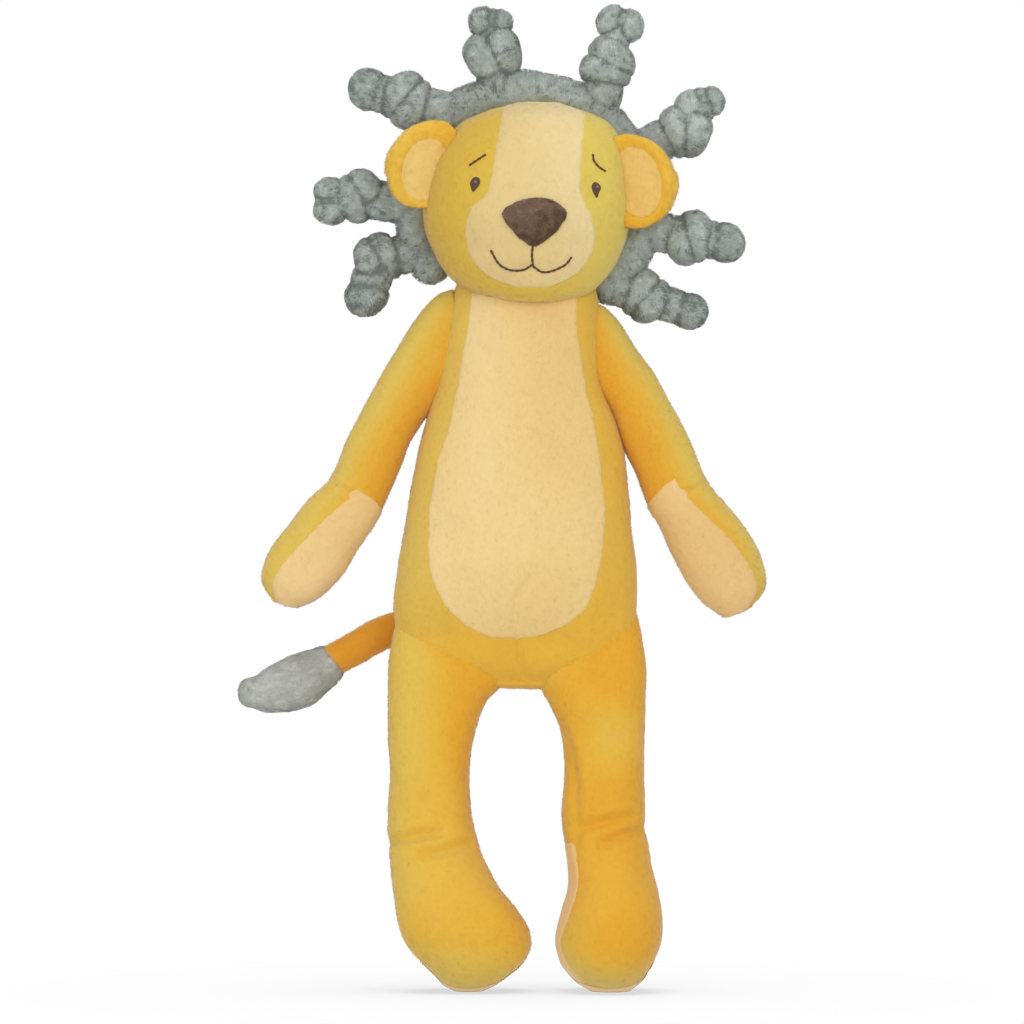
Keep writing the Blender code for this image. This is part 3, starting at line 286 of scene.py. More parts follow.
# Caps at the first and last section in pixels, and how square the sections are
HEAD_FORM = (3, 3, 2.3)
TORSO_FORM = (4, 6, 2.25)
ARM_FORM = (3, 2, 2.15)
LEG_FORM = (3, 3, 2.3)
EAR_FORM = (3, 2, 2.2)

# Panels: height, left and right edge in the photograph
FACE_ROWS = (
    (98, 512, 569), (104, 507, 575), (110, 504, 580), (120, 502, 583), (141, 497, 583),
    (168, 493, 581), (190, 489, 581), (199, 480, 583), (206, 472, 587), (218, 467, 592),
    (235, 465, 595), (250, 468, 592), (262, 474, 587), (270, 480, 581), (277, 489, 573),
    (283, 501, 561), (287, 514, 548), (289, 526, 536),
)
BELLY_ROWS = (
    (290, 472, 574), (333, 466, 577), (383, 458, 586), (429, 447, 594), (459, 437, 599),
    (510, 429, 605), (544, 428, 604), (576, 432, 598), (595, 440, 593), (612, 450, 583),
    (626, 466, 565), (635, 486, 546), (639, 506, 526),
)
FACE_SINK = 0.0012
BELLY_SINK = 0.0015

# Head
# Middle, half width and half height in pixels, and depth, of each bump on the face
FACE_BUMPS = (
    (531, 240, 62, 44, 0.0062),
    (474, 184, 13, 15, -0.0012),
    (596, 189, 13, 15, -0.0012),
    (533, 268, 26, 8, -0.0010),
)
FACE_BUMPS_FADE = 0.012
NOSE_OUTLINE = (
    (538, 199), (553, 202), (565, 212), (560, 224), (548, 237), (534, 245), (523, 239), (512, 228),
    (504, 216), (508, 208), (523, 201),
)
NOSE_MIDDLE = (534, 215)
NOSE_NAP = 0.0002
NOSE_LAY = (0, -0.001, 0)
EYE_OUTLINES = {
    "right": (
        (475, 177), (479, 178), (480, 183), (477, 188), (473, 192), (471, 188), (470, 183), (472, 179),
    ),
    "left": (
        (595, 182), (599, 184), (601, 188), (599, 193), (597, 198), (594, 194), (592, 189), (592, 185),
    ),
}
SHINE_OUTLINES = {
    "right": ((475, 180), (477, 181), (476, 183), (474, 182)),
    "left": ((597, 185), (599, 186), (598, 188), (596, 187)),
}
SHINE_NEARER = 0.001
# Middle, half length, half width and lean of each ear's lining, in pixels and degrees
LININGS = {"right": (426, 170, 32, 24, 14), "left": (637, 182, 36, 24, -12)}
LINING_POINTS = 16
LINING_LUMP = 0.0002
EAR_LUMP = LUMP_DEPTH / 2
EAR_HOLLOW = 0.0030
EAR_HOLLOW_SHARE = 1.35
EAR_HOLLOW_FADE = 0.7
EAR_BEND_SHARE = 0.3
# Rise, sink and steps of each pad
NOSE_PAD = (0.0042, 0.002, 22)
EYE_PAD = (0.0011, 0.0012, 8)
SHINE_PAD = (0.0002, 0.0004, 4)
LINING_PAD = (0.0012, 0.0010, 18)
PAD_CURVE = 1.5
PAD_MIDDLE_SHARE = 0.02
# Embroidered lines, named by their side in the photograph
THREAD_LINES = {
    "brow_left": ((470, 165), (476, 161), (485, 155)),
    "brow_right": ((593, 155), (594, 161), (599, 167), (605, 171)),
    "mouth_middle": ((533, 244), (532, 255), (533, 266)),
    "mouth_left": ((532, 265), (523, 270), (510, 270), (499, 264), (491, 251)),
    "mouth_right": ((534, 267), (542, 272), (552, 271), (565, 265), (571, 258)),
}
THREAD_RADIUS = 0.00050
THREAD_SIDES = 8
STITCH_LENGTH = 0.0022
STITCH_DIP = 0.35
STITCH_SHARPNESS = 8
# Root, middle of the knot, its radius and lean, and the lobes of the tip with their radii
STRANDS = (
    ((612, 284), (646, 296), 24, 20, ((690, 312, 17.5),)),
    ((642, 230), (687, 237), 25, -25, ((726, 243, 19),)),
    ((645, 148), (685, 130), 25, 40, ((694, 108, 17), (710, 102, 14))),
    ((603, 96), (607, 64), 25, 15, ((613, 21, 15), (628, 25, 15))),
    ((497, 88), (493, 55), 27, 70, ((484, 21, 13.5), (499, 22, 12.5))),
    ((445, 112), (405, 101), 26, 25, ((368, 89, 19.5),)),
    ((405, 206), (361, 196), 24, -35, ((330, 193, 15), (330, 208, 15))),
    ((418, 250), (380, 260), 24, 15, ((365, 296, 20),)),
)

# Body and limbs
TORSO_LUMP = 0.0009
BELLY_LUMP = 0.0005
BELLY_CREASE = (((531, 575), (524, 588), (516, 602), (515, 640)), 0.0008, 0.0016)
TORSO_CREASE = (((515, 630), (519, 655), (524, 680)), 0.0012, CREASE_WIDTH)
ARM_LUMP = 0.0006
ARM_BENDS = {"right": ((452, 340), (425, 352)), "left": ((590, 340), (618, 352))}
WRIST_ROW = 7
WRIST_DEPTH = 0.0010
# Outer edge of each paw panel at its corner, wrist, palm and tip, and rings from corner to wrist
PAW_EDGES = {"right": ((-0.15, -0.22, -0.50, -0.85), 5), "left": ((0.15, 0.30, 0.62, 0.90), 9)}
PAW_WRIST_RINGS = 2
PAW_PALM_SHARE = 0.5
# Turn of a paw panel's other edge, from the outer one at its corner, and round the limb below
PAW_TURNS = {"right": (-0.1, -0.9), "left": (0.1, math.pi + 0.9)}
LEG_LUMP = 0.0007
# Lines and depths of the creases at each shin
LEG_CREASES = {
    "right": (
        (((384, 845), (412, 836), (446, 833)), 0.0024),
        (((416, 856), (442, 851), (474, 842)), 0.0022),
    ),
    "left": (
        (((576, 829), (606, 822), (638, 816)), 0.0022),
        (((596, 846), (620, 836), (650, 827)), 0.0024),
        (((556, 716), (568, 748), (575, 784), (576, 860)), 0.0014),
    ),
}
HIP_Y = 676
HIP_BEND = 0.012
SOLE_TOE_Y = 988
SOLE_HEEL_Y = 968
SOLE_SIDES = 96
SOLE_RINGS = 24
SOLE_INNER_SHARE = 0.88
SOLE_OUTER_SHARE = 1.03
SOLE_RAISE = 0.0006
SOLE_BARE = 0.0015
# Height in the photograph, then first and last turn, of the strip up the inner side of a foot
SOLE_STRIPS = {
    "right": (),
    "left": (
        (840, 2.60, 3.45), (845, 2.40, 3.75), (868, 2.36, 3.90), (893, 2.46, 3.95), (924, 2.60, 4.0),
        (942, 2.72, 4.1), (967, 2.55, 4.2), (980, 2.40, 4.3), (989, 2.35, 4.4),
    ),
}

# Tail: place and depth of its route, and of the tuft with the tuft's radius
TAIL_ROUTE = (
    (512, 617, -0.0205), (486, 616, -0.0262), (450, 617, -0.0268), (421, 621, -0.0242),
    (381, 634, -0.0202), (352, 650, -0.0162), (334, 659, -0.0138),
)
TAIL_TUBES = (0.0072, 0.0064)
TAIL_SIDES = 44
TAIL_LUMP = 0.0004
TAIL_BEND_ROW = 3
TUFT_ROWS = (
    (325, 666, -0.0140, 0.0078), (315, 672, -0.0134, 0.0092), (297, 682, -0.0116, 0.0105),
    (270, 691, -0.0095, 0.0087), (253, 693, -0.0073, 0.0058),
)
TUFT_SPACING = 0.001
TUFT_LUMPS = (0.0003, 0.006, 6.3)

# Shading
GRAIN = 1100
GRAIN_STRETCH = (1, 1, 0.6)
GRAIN_DETAIL = 3
GRAIN_ROUGHNESS = 0.6
GRAIN_CONTRAST = 0.25
NOSE_CONTRAST = 0.8
FLEECE_LOOK = {"grain": 700, "contrast": 0.4}
BUMP_DISTANCE = 0.0003
BUMP_STRENGTH = 0.3
RAMP_ENDS = (0.1, 0.9)
PLUSH_SURFACE = {
    "Roughness": 0.9, "Specular IOR Level": 0.15, "Sheen Weight": 0.3, "Sheen Roughness": 0.45,
}
HAIR_SURFACE = {
    "Roughness": 0.85, "Specular IOR Level": 0.2, "Sheen Weight": 0.25, "Sheen Roughness": 0.4,
}
THREAD_SURFACE = {**HAIR_SURFACE, "Roughness": 0.45, "Sheen Weight": 0}
SHINE_SURFACE = {**THREAD_SURFACE, "Roughness": 0.3}
FLOOR_SURFACE = {"Base Color": WHITE, "Roughness": 1, "Specular IOR Level": 0}
HEAD_MIDDLE_X = 527
HEAD_HALF_WIDTH = 0.042
HIP_HEIGHT = 0.135
HIP_FADE = 0.045
# Height over which the painted light from the floor fades out up each foot
PAINTED_FLOOR_LIGHT_FADE = 0.022

# Colour drift, from 0 deep to 1 light: its level, then how far each cause moves it
# Some of these drifts hold painted sheen and painted light, marked below
EVEN_DRIFT = (0.5, 0.4)
FLEECE_DRIFT = (0.5, 0.2)
# Painted sheen on ears and tail: lighter along their sides than on their fronts
PAINTED_SHEEN_DRIFT = (0.2, 0.7, 0.45)
PAINTED_SHEEN_CURVE = 1.5
# Painted sheen on the arms: lemon along the outer side
ARM_DRIFT = (0.34, 0.12, 0.9, 0.2)
ARM_OUTWARD = (0.87, 0.5)
# Painted sheen along one side of each leg, and painted light from the floor under each foot
LEG_DRIFT = (0.34, 0.3, 0.7, 0.5)
BODY_DRIFT = (0.1, 0.45, 0.25, 0.2)
# Painted light and shade across the head and face: lighter on the lion's left, darker on its right
HEAD_PAINTED_LIGHT_DRIFT = (0.45, 0.5, 0.15)

# Stage and light
AMBIENT = 0.66
FLOOR_RADIUS = 0.2
FLOOR_SIDES = 64
LAMP_TARGET = Vector((0, 0, 0.2))
# Name, place, size and power of each lamp
LAMPS = (
    ("key", (0.55, -1.6, 0.70), 1.1, 7.5),
    ("fill", (-0.9, -1.5, 0.15), 1.2, 6.0),
    ("top", (0.0, 0.0, 1.7), 1.0, 3.4),
)
# Lamps of the floor: name, strength and whether the feet throw their shadow in it
FLOOR_LAMPS = (("floor_light", 4.6, False), ("feet_light", 1.7, True))
FLOOR_LAMP_ANGLE = math.radians(45)


# Numbers and noise


def unit(vectors):
    return vectors / np.maximum(np.linalg.norm(vectors, axis=-1, keepdims=True), TINY)


def place(x, y, depth=0.0):
    """World point that a place in the photograph shows, depth metres in front of the neck's plane."""
    nearer = 1 - depth / CAMERA_DISTANCE
    across = (PHOTO_MIDDLE_X - IMAGE_SIZE / 2) * PIXEL
    middle_x = NECK[0] - MODEL_NECK_X - across
    middle_z = (PHOTO_FLOOR_Y - IMAGE_SIZE / 2) * PIXEL
    right = (x - IMAGE_SIZE / 2) * PIXEL * nearer
    down = (y - IMAGE_SIZE / 2) * PIXEL * nearer
    return np.array((middle_x + right, NECK[1] - depth, middle_z - down))


def row_middle(row):
    """Middle of a section of an outline, in the neck's plane."""
    return (place(*row[:2]) + place(*row[2:4])) / 2


def seen(points):
    """Where points show in the photograph: x and y in pixels."""
    middle = place(IMAGE_SIZE / 2, IMAGE_SIZE / 2)
    scale = PIXEL * (1 - (NECK[1] - points[..., 1]) / CAMERA_DISTANCE)
    x = IMAGE_SIZE / 2 + (points[..., 0] - middle[0]) / scale
    y = IMAGE_SIZE / 2 - (points[..., 2] - middle[2]) / scale
    return x, y


def smooth_rows(rows, spacing):
    """Rows of numbers on a smooth curve through the given rows, evenly spaced by their first three."""
    rows = np.asarray(rows, float)
    ends = np.vstack([2 * rows[0] - rows[1], rows, 2 * rows[-1] - rows[-2]])
    steps = np.linspace(0, len(rows) - 1, CURVE_STEPS * len(rows))
    low = np.minimum(steps.astype(int), len(rows) - 2)
    part = (steps - low)[:, None]
    a, b, c, d = (ends[low + k] for k in range(4))
    fine = b + part * (c - a + part * (2 * a - 5 * b + 4 * c - d + part * (3 * b - a - 3 * c + d))) / 2
    run = np.concatenate([[0], np.cumsum(np.linalg.norm(np.diff(fine[:, :3], axis=0), axis=1))])
    even = np.linspace(0, run[-1], max(CURVE_LEAST, int(run[-1] / spacing)))
    return np.stack([np.interp(even, run, column) for column in fine.T], axis=1)


def lattice_noise(points, size, seed):
    """Smooth noise from -1 to 1, with lumps of about the given size."""
    cells = points / size + seed
    low = np.floor(cells).astype(np.int64)
    part = cells - low
    ease = part * part * (3 - 2 * part)
    total = np.zeros(len(points))
    for corner in range(8):
        step = np.array([corner & 1, corner >> 1 & 1, corner >> 2 & 1])
        mixed = ((low + step) * LATTICE_PRIMES).sum(axis=1) & HASH_MASK
        for shift, factor in HASH_STEPS:
            mixed = (mixed ^ (mixed >> shift)) * factor & HASH_MASK
        value = (mixed ^ (mixed >> HASH_LAST)) / (HASH_MASK // 2) - 1
        total += np.prod(np.where(step, ease, 1 - ease), axis=1) * value
    return total


def line_distance(points, line):
    """Distance of each point to a line through the photograph, and how far along the line it is."""
    spots = np.array(line, float)
    flat = np.stack(seen(points), axis=1)
    nearest = np.full(len(points), float(IMAGE_SIZE))
    along = np.zeros(len(points))
    for k, (first, second) in enumerate(zip(spots, spots[1:])):
        run = second - first
        share = np.clip((flat - first) @ run / (run @ run), 0, 1)
        distance = np.linalg.norm(flat - first - share[:, None] * run, axis=1)
        along = np.where(distance < nearest, (k + share) / (len(spots) - 1), along)
        nearest = np.minimum(nearest, distance)
    return nearest * PIXEL, along


# Meshes


class Shell:
    """A closed mesh as arrays: its points and its faces, with three or four corners."""

    def __init__(self, points, quads, tris):
        self.points = points
        self.quads = np.asarray(quads, np.int64).reshape(-1, 4)
        self.tris = np.asarray(tris, np.int64).reshape(-1, 3)
        a, b, c = self.corners()
        if np.einsum("ij,ij->i", a, np.cross(b, c)).sum() < 0:
            self.quads = self.quads[:, ::-1]
            self.tris = self.tris[:, ::-1]

    def triangles(self):
        return np.vstack([self.tris, self.quads[:, (0, 1, 2)], self.quads[:, (0, 2, 3)]])

    def corners(self):
        return [self.points[column] for column in self.triangles().T]

    def facing(self):
        """The normal of each triangle, as long as twice its area."""
        a, b, c = self.corners()
        return np.cross(b - a, c - a)

    def normals(self):
        facing = self.facing()
        total = np.zeros_like(self.points)
        for column in self.triangles().T:
            for axis in range(3):
                total[:, axis] += np.bincount(column, facing[:, axis], len(self.points))
        return unit(total)

    def push(self, amounts):
        self.points = self.points + self.normals() * amounts[:, None]
        return self

    def lump(self, depth, size, seed):
        return self.push(depth * lattice_noise(self.points, size, seed))

    def tree(self):
        return BVHTree.FromPolygons(self.points.tolist(), self.triangles().tolist())


def grid_shell(rings):
    """A closed mesh of rings of points, each ring closed, with a pole in the middle of each end."""
    count, sides = rings.shape[:2]
    turn = np.arange(sides)
    after = (turn + 1) % sides
    low = np.arange(count - 1)[:, None] * sides
    quads = np.stack([low + turn, low + after, low + after + sides, low + turn + sides], axis=-1)
    points = np.vstack([rings.reshape(-1, 3), rings[0].mean(axis=0), rings[-1].mean(axis=0)])
    start = np.stack([np.full(sides, count * sides), after, turn], axis=-1)
    last = (count - 1) * sides
    end = np.stack([np.full(sides, count * sides + 1), last + turn, last + after], axis=-1)
    return Shell(points, quads, np.vstack([start, end]))


def sheet_shell(outer, inner):
    """A closed mesh between two grids of points with the same border count."""
    length, width = outer.shape[:2]
    cell = np.arange(length - 1)[:, None] * width + np.arange(width - 1)
    top = np.stack([cell, cell + 1, cell + width + 1, cell + width], axis=-1).reshape(-1, 4)
    bottom = top[:, ::-1] + length * width
    index = np.arange(length * width).reshape(length, width)
    border = np.concatenate([index[0, :-1], index[:-1, -1], index[-1, :0:-1], index[:0:-1, 0]])
    after = np.roll(border, -1)
    sides = np.stack([after, border, border + length * width, after + length * width], axis=-1)
    points = np.vstack([outer.reshape(-1, 3), inner.reshape(-1, 3)])
    return Shell(points, np.vstack([top, bottom, sides]), [])


def joined(*shells):
    points, quads, tris, count = [], [], [], 0
    for shell in shells:
        points.append(shell.points)
        quads.append(shell.quads + count)
        tris.append(shell.tris + count)
        count += len(shell.points)
    return Shell(np.vstack(points), np.vstack(quads), np.vstack(tris))


def add_object(name, data):
    thing = bpy.data.objects.new(name, data)
    bpy.context.scene.collection.objects.link(thing)
    return thing


def mesh_object(name, points, face_sets, materials, shades=None, smooth=True):
    """A mesh object from arrays. shades picks a material for each face."""
    mesh = bpy.data.meshes.new(name)
    corners = np.concatenate([faces.ravel() for faces in face_sets])
    sizes = np.concatenate([np.full(len(faces), faces.shape[1]) for faces in face_sets])
    starts = np.concatenate([[0], np.cumsum(sizes)[:-1]])
    mesh.vertices.add(len(points))
    mesh.vertices.foreach_set("co", points.astype(np.float32).ravel())
    mesh.loops.add(len(corners))
    mesh.loops.foreach_set("vertex_index", corners.astype(np.int32))
    mesh.polygons.add(len(sizes))
    mesh.polygons.foreach_set("loop_start", starts.astype(np.int32))
    for cloth in materials:
        mesh.materials.append(cloth)
    if shades is not None:
        mesh.polygons.foreach_set("material_index", shades.astype(np.int32))
    mesh.polygons.foreach_set("use_smooth", np.full(len(sizes), smooth))
    mesh.update(calc_edges=True)
    return add_object(name, mesh)


def fused(*shells):
    """One closed skin round closed shells that overlap."""
    whole = joined(*shells)
    rough = mesh_object("rough", whole.points, [whole.quads, whole.tris], [])
    remesh = rough.modifiers.new("fuse", "REMESH")
    remesh.mode = "VOXEL"
    remesh.voxel_size = REMESH_SIZE
    smooth = rough.modifiers.new("smooth", "SMOOTH")
    smooth.iterations = REMESH_SMOOTHING
    mesh = bpy.data.meshes.new_from_object(rough.evaluated_get(bpy.context.evaluated_depsgraph_get()))
    points = np.zeros(len(mesh.vertices) * 3, np.float32)
    mesh.vertices.foreach_get("co", points)
    corners = np.zeros(len(mesh.loops), np.int32)
    mesh.loops.foreach_get("vertex_index", corners)
    bpy.data.objects.remove(rough)
    bpy.data.meshes.remove(mesh)
    return Shell(points.reshape(-1, 3).astype(float), corners, [])


# Stuffed forms and their panels


def cap_turns(steps):
    """Turns of the rings that round off an end."""
    return np.arange(1, steps)[:, None] * math.pi / 2 / steps


class Form:
    """A stuffed form as a run of sections, with a rounded cap on each end."""

    def __init__(self, rows, start_cap, end_cap, square):
        rows = np.array(rows, float)
        front, back = rows[:, 4:].T / DEPTH_STEPS
        low, high = (
            np.array([place(x, y, depth) for (x, y), depth in zip(ends, (front - back) / 2)])
            for ends in (rows[:, :2], rows[:, 2:4])
        )
        sections = np.column_stack([(low + high) / 2, (high - low) / 2, (front + back) / 2])
        table = smooth_rows(sections, SPACING)
        start = self.cap(table[0], table[CAP_BACK], start_cap * PIXEL)
        end = self.cap(table[-1], table[-1 - CAP_BACK], end_cap * PIXEL)
        self.table = np.vstack([start[::-1], table, end])
        self.middles, self.across, self.deep = self.table[:, :3], self.table[:, 3:6], self.table[:, 6]
        self.square = square

    def cap(self, end, inner, length):
        """Sections that round off one end, over the given length."""
        turns = cap_turns(CAP_STEPS)
        middles = end[:3] + length * np.sin(turns) * unit(end[:3] - inner[:3])
        return np.hstack([middles, end[3:] * np.cos(turns)])

    def surface(self, ring, turn):
        """Points on the form. turn is 0 at the right in the photograph and grows over the front."""
        steps = np.arange(len(self.table))
        section = np.stack([np.interp(ring, steps, column) for column in self.table.T], axis=-1)
        side = np.sign(np.cos(turn)) * np.abs(np.cos(turn)) ** (2 / self.square)
        front = np.sign(np.sin(turn)) * np.abs(np.sin(turn)) ** (2 / self.square)
        points = section[..., :3] + side[..., None] * section[..., 3:6]
        points[..., 1] -= front * section[..., 6]
        return points

    def turn_at(self, share):
        """The turn over the front at which a section is at a share of its half width."""
        share = np.clip(share, -1, 1)
        return np.arccos(np.sign(share) * np.abs(share) ** (self.square / 2))

    def shell(self):
        widest = max(np.linalg.norm(self.across, axis=1).max(), self.deep.max())
        sides = int(math.tau * widest / SPACING / 4) * 4
        turns = np.arange(sides) * math.tau / sides
        return grid_shell(self.surface(*np.meshgrid(np.arange(len(self.table)), turns, indexing="ij")))

    def ring_at(self, y):
        """The ring whose front shows at a height in the photograph."""
        heights = seen(self.middles - self.deep[:, None] * (0, 1, 0))[1]
        return np.interp(np.asarray(y, float), heights, np.arange(len(heights)))

    def shares_of(self, rings, spots):
        """Where places along the sections lie, as shares of their half width."""
        half = np.interp(rings, np.arange(len(self.table)), self.across[:, 0])
        shares = np.zeros(len(rings))
        for _ in range(PLACING_STEPS):
            shown = seen(self.surface(rings, self.turn_at(shares)))[0]
            shares += (np.array(spots) - shown) * PIXEL / half
        return shares

    def patch(self, rings, first_turns, last_turns, bump=None):
        """A closed panel that lies on the form between two turns, its edges tucked under the skin."""
        length = max(PATCH_LEAST, int(rings[-1] - rings[0]))
        where = np.linspace(rings[0], rings[-1], length)
        widest = np.linalg.norm(self.across, axis=1).max()
        along = np.stack([where * SPACING, 0 * where, 0 * where], axis=1)
        first, last = (
            np.interp(where, rings, turns) + BORDER_DEPTH / widest * lattice_noise(along, BORDER_SIZE, seed)
            for turns, seed in zip((first_turns, last_turns), BORDER_SEEDS)
        )
        width = max(PATCH_LEAST, int(np.abs(last - first).max() * widest / SPACING))
        turns = first[:, None] + (last - first)[:, None] * np.linspace(0, 1, width)
        points = self.surface(np.repeat(where[:, None], width, axis=1), turns)
        if bump is not None:
            points = bump(points)
        down, over = np.gradient(points, axis=0), np.gradient(points, axis=1)
        normal = unit(np.cross(over, down))
        centre = (length // 2, width // 2)
        if normal[centre] @ (points[centre] - self.middles[int(where[length // 2])]) < 0:
            normal = -normal
        from_side, from_end = (np.minimum(np.arange(n), np.arange(n)[::-1]) for n in (width, length))
        spacing = np.linalg.norm(over, axis=-1).mean(axis=1) / SPACING
        near = np.minimum(from_side[None, :] * spacing[:, None], from_end[:, None])
        rise = np.clip(near / PANEL_EDGE_STEPS, 0, 1)
        lift = (PANEL_PROUD + PANEL_TUCK) * (rise * (2 - rise)) - PANEL_TUCK
        return sheet_shell(points + normal * lift[..., None], points - normal * PANEL_SINK)

    def front_panel(self, rows, bump=None):
        """A panel on the front, from rows of height, left and right in the photograph."""
        heights = np.array([row[0] for row in rows], float)
        heights[0] -= PANEL_HIDDEN_PIXELS
        heights[-1] += PANEL_HIDDEN_PIXELS
        rings = self.ring_at(heights)
        left = self.shares_of(rings, [row[1] - PANEL_HIDDEN_PIXELS for row in rows])
        right = self.shares_of(rings, [row[2] + PANEL_HIDDEN_PIXELS for row in rows])
        return self.patch(rings, self.turn_at(right), self.turn_at(left), bump)


def soften(shell, lump=LUMP_DEPTH, nap=NAP_DEPTH):
    """Give a cloth its uneven filling and the nap of its pile."""
    shell.lump(lump, LUMP_SIZE, LUMP_SEED)
    amounts = nap * lattice_noise(shell.points, NAP_SIZE, NAP_SEEDS[0])
    amounts += nap / 2 * lattice_noise(shell.points, NAP_SIZE / 2, NAP_SEEDS[1])
    return shell.push(amounts)


def crease(shell, line, depth, width):
    """Draw the front of a form in along a line through the photograph, with a soft roll beside it."""
    gain, start = CREASE_FACING
    facing = np.clip(-shell.normals()[:, 1] * gain + start, 0, 1)
    distance, share = line_distance(shell.points, line)
    fold = np.exp(-((distance / width) ** 2)) - ROLL_SHARE * np.exp(-((distance / width - ROLL_AWAY) ** 2))
    return shell.push(-depth * fold * facing * np.sqrt(np.clip(4 * share * (1 - share), 0, 1)))


def under(shell, rows, depth):
    """Sink a skin under a panel, so that only the panel's border meets it."""
    x, y = seen(shell.points)
    heights, lefts, rights = zip(*rows)
    across = np.minimum(x - np.interp(y, heights, lefts), np.interp(y, heights, rights) - x)
    inside = np.minimum(across, np.minimum(y - heights[0], heights[-1] - y))
    share = np.clip((inside - PANEL_MARGIN_PIXELS) / PANEL_MARGIN_PIXELS, 0, 1)
    return shell.push(-depth * (share * (shell.normals()[:, 1] < FRONT_LIMIT)))


# Tubes, pads and threads


def tube_shell(points, radii, sides):
    """A round tube along points, with rounded ends."""
    points, radii = np.asarray(points, float), np.asarray(radii, float)
    turns = cap_turns(TUBE_CAP_STEPS)
    first = points[0] + radii[0] * np.sin(turns)[::-1] * unit(points[0] - points[1])
    last = points[-1] + radii[-1] * np.sin(turns) * unit(points[-1] - points[-2])
    narrowing = np.cos(turns)[:, 0]
    radii = np.concatenate([radii[0] * narrowing[::-1], radii, radii[-1] * narrowing])
    points = np.vstack([first, points, last])
    ahead = unit(np.gradient(points, axis=0))
    side = np.cross(ahead[0], TUBE_AWAY)
    turn = np.arange(sides)[:, None] * math.tau / sides
    rings = []
    for point, radius, forward in zip(points, radii, ahead):
        side = unit(side - forward * (side @ forward))
        up = np.cross(forward, side)
        rings.append(point + radius * (np.cos(turn) * side + np.sin(turn) * up))
    return grid_shell(np.array(rings))


def on_surface(tree, spots):
    """Depth of the surface at each x and z, seen from the front."""
    hits = [tree.ray_cast(Vector((x, -1, z)), Vector((0, 1, 0)))[0] for x, z in spots]
    depths = np.array([math.nan if hit is None else hit.y for hit in hits])
    return np.where(np.isnan(depths), np.nanmean(depths), depths)


def spots_on(tree, outline, nearer=0.0):
    """Places in the photograph on the surface that shows there."""
    flat = np.array([place(x, y) for x, y in outline])
    depths = NECK[1] - on_surface(tree, flat[:, ::2]) + nearer
    return np.array([place(x, y, depth) for (x, y), depth in zip(outline, depths)])


def pad_shell(tree, outline, height, sink, steps, nearer=0.0):
    """A domed pad with a smooth closed outline, seated on a surface."""
    spots = spots_on(tree, outline, nearer)
    smooth = smooth_rows(np.vstack([spots[-2:], spots, spots[:3]]), SPACING / 3)
    from_first = np.linalg.norm(smooth - spots[0], axis=1)
    half = len(smooth) // 2
    ring = smooth[np.argmin(from_first[:half]) : half + np.argmin(from_first[half:])]
    middle = spots.mean(axis=0)
    shares = 1 - np.linspace(1, 0, steps) ** PAD_CURVE
    shares[0] = PAD_MIDDLE_SHARE
    outer = middle + shares[:, None, None] * (ring - middle)
    inner = outer[::-1].copy()
    base = on_surface(tree, outer.reshape(-1, 3)[:, ::2]).reshape(outer.shape[:2])
    outer[..., 1] = base - height * np.sqrt(1 - shares**2)[:, None]
    inner[..., 1] = base[::-1] + sink
    return grid_shell(np.vstack([outer, inner]))


def thread_shell(tree, line):
    spacing = THREAD_RADIUS / 2
    route = smooth_rows(spots_on(tree, line), spacing)
    route[:, 1] = on_surface(tree, route[:, ::2]) - THREAD_RADIUS / 3
    waves = np.sin(np.arange(len(route)) * spacing * math.pi / STITCH_LENGTH)
    stitches = 1 - STITCH_DIP * np.abs(waves) ** STITCH_SHARPNESS
    return tube_shell(route, THREAD_RADIUS * stitches, THREAD_SIDES)


# Materials


def set_inputs(node, values):
    for name, value in values.items():
        node.inputs[name].default_value = value


def set_all(thing, settings):
    for name, value in settings.items():
        setattr(thing, name, value)


def new_node(tree, kind, values=None, **settings):
    node = tree.nodes.new("ShaderNode" + kind)
    set_inputs(node, values or {})
    set_all(node, settings)
    return node


def link(tree, *rows):
    """Join nodes, from rows of a node, its output, the next node and its input."""
    for source, output, target, entry in rows:
        tree.links.new(source.outputs[output], target.inputs[entry])


def new_material(name, surface):
    cloth = bpy.data.materials.new(name)
    cloth.use_nodes = True
    shader = cloth.node_tree.nodes["Principled BSDF"]
    set_inputs(shader, surface)
    return cloth, cloth.node_tree, shader


def plain_material(name, colour, surface=HAIR_SURFACE):
    return new_material(name, {"Base Color": (*colour, 1), **surface})[0]


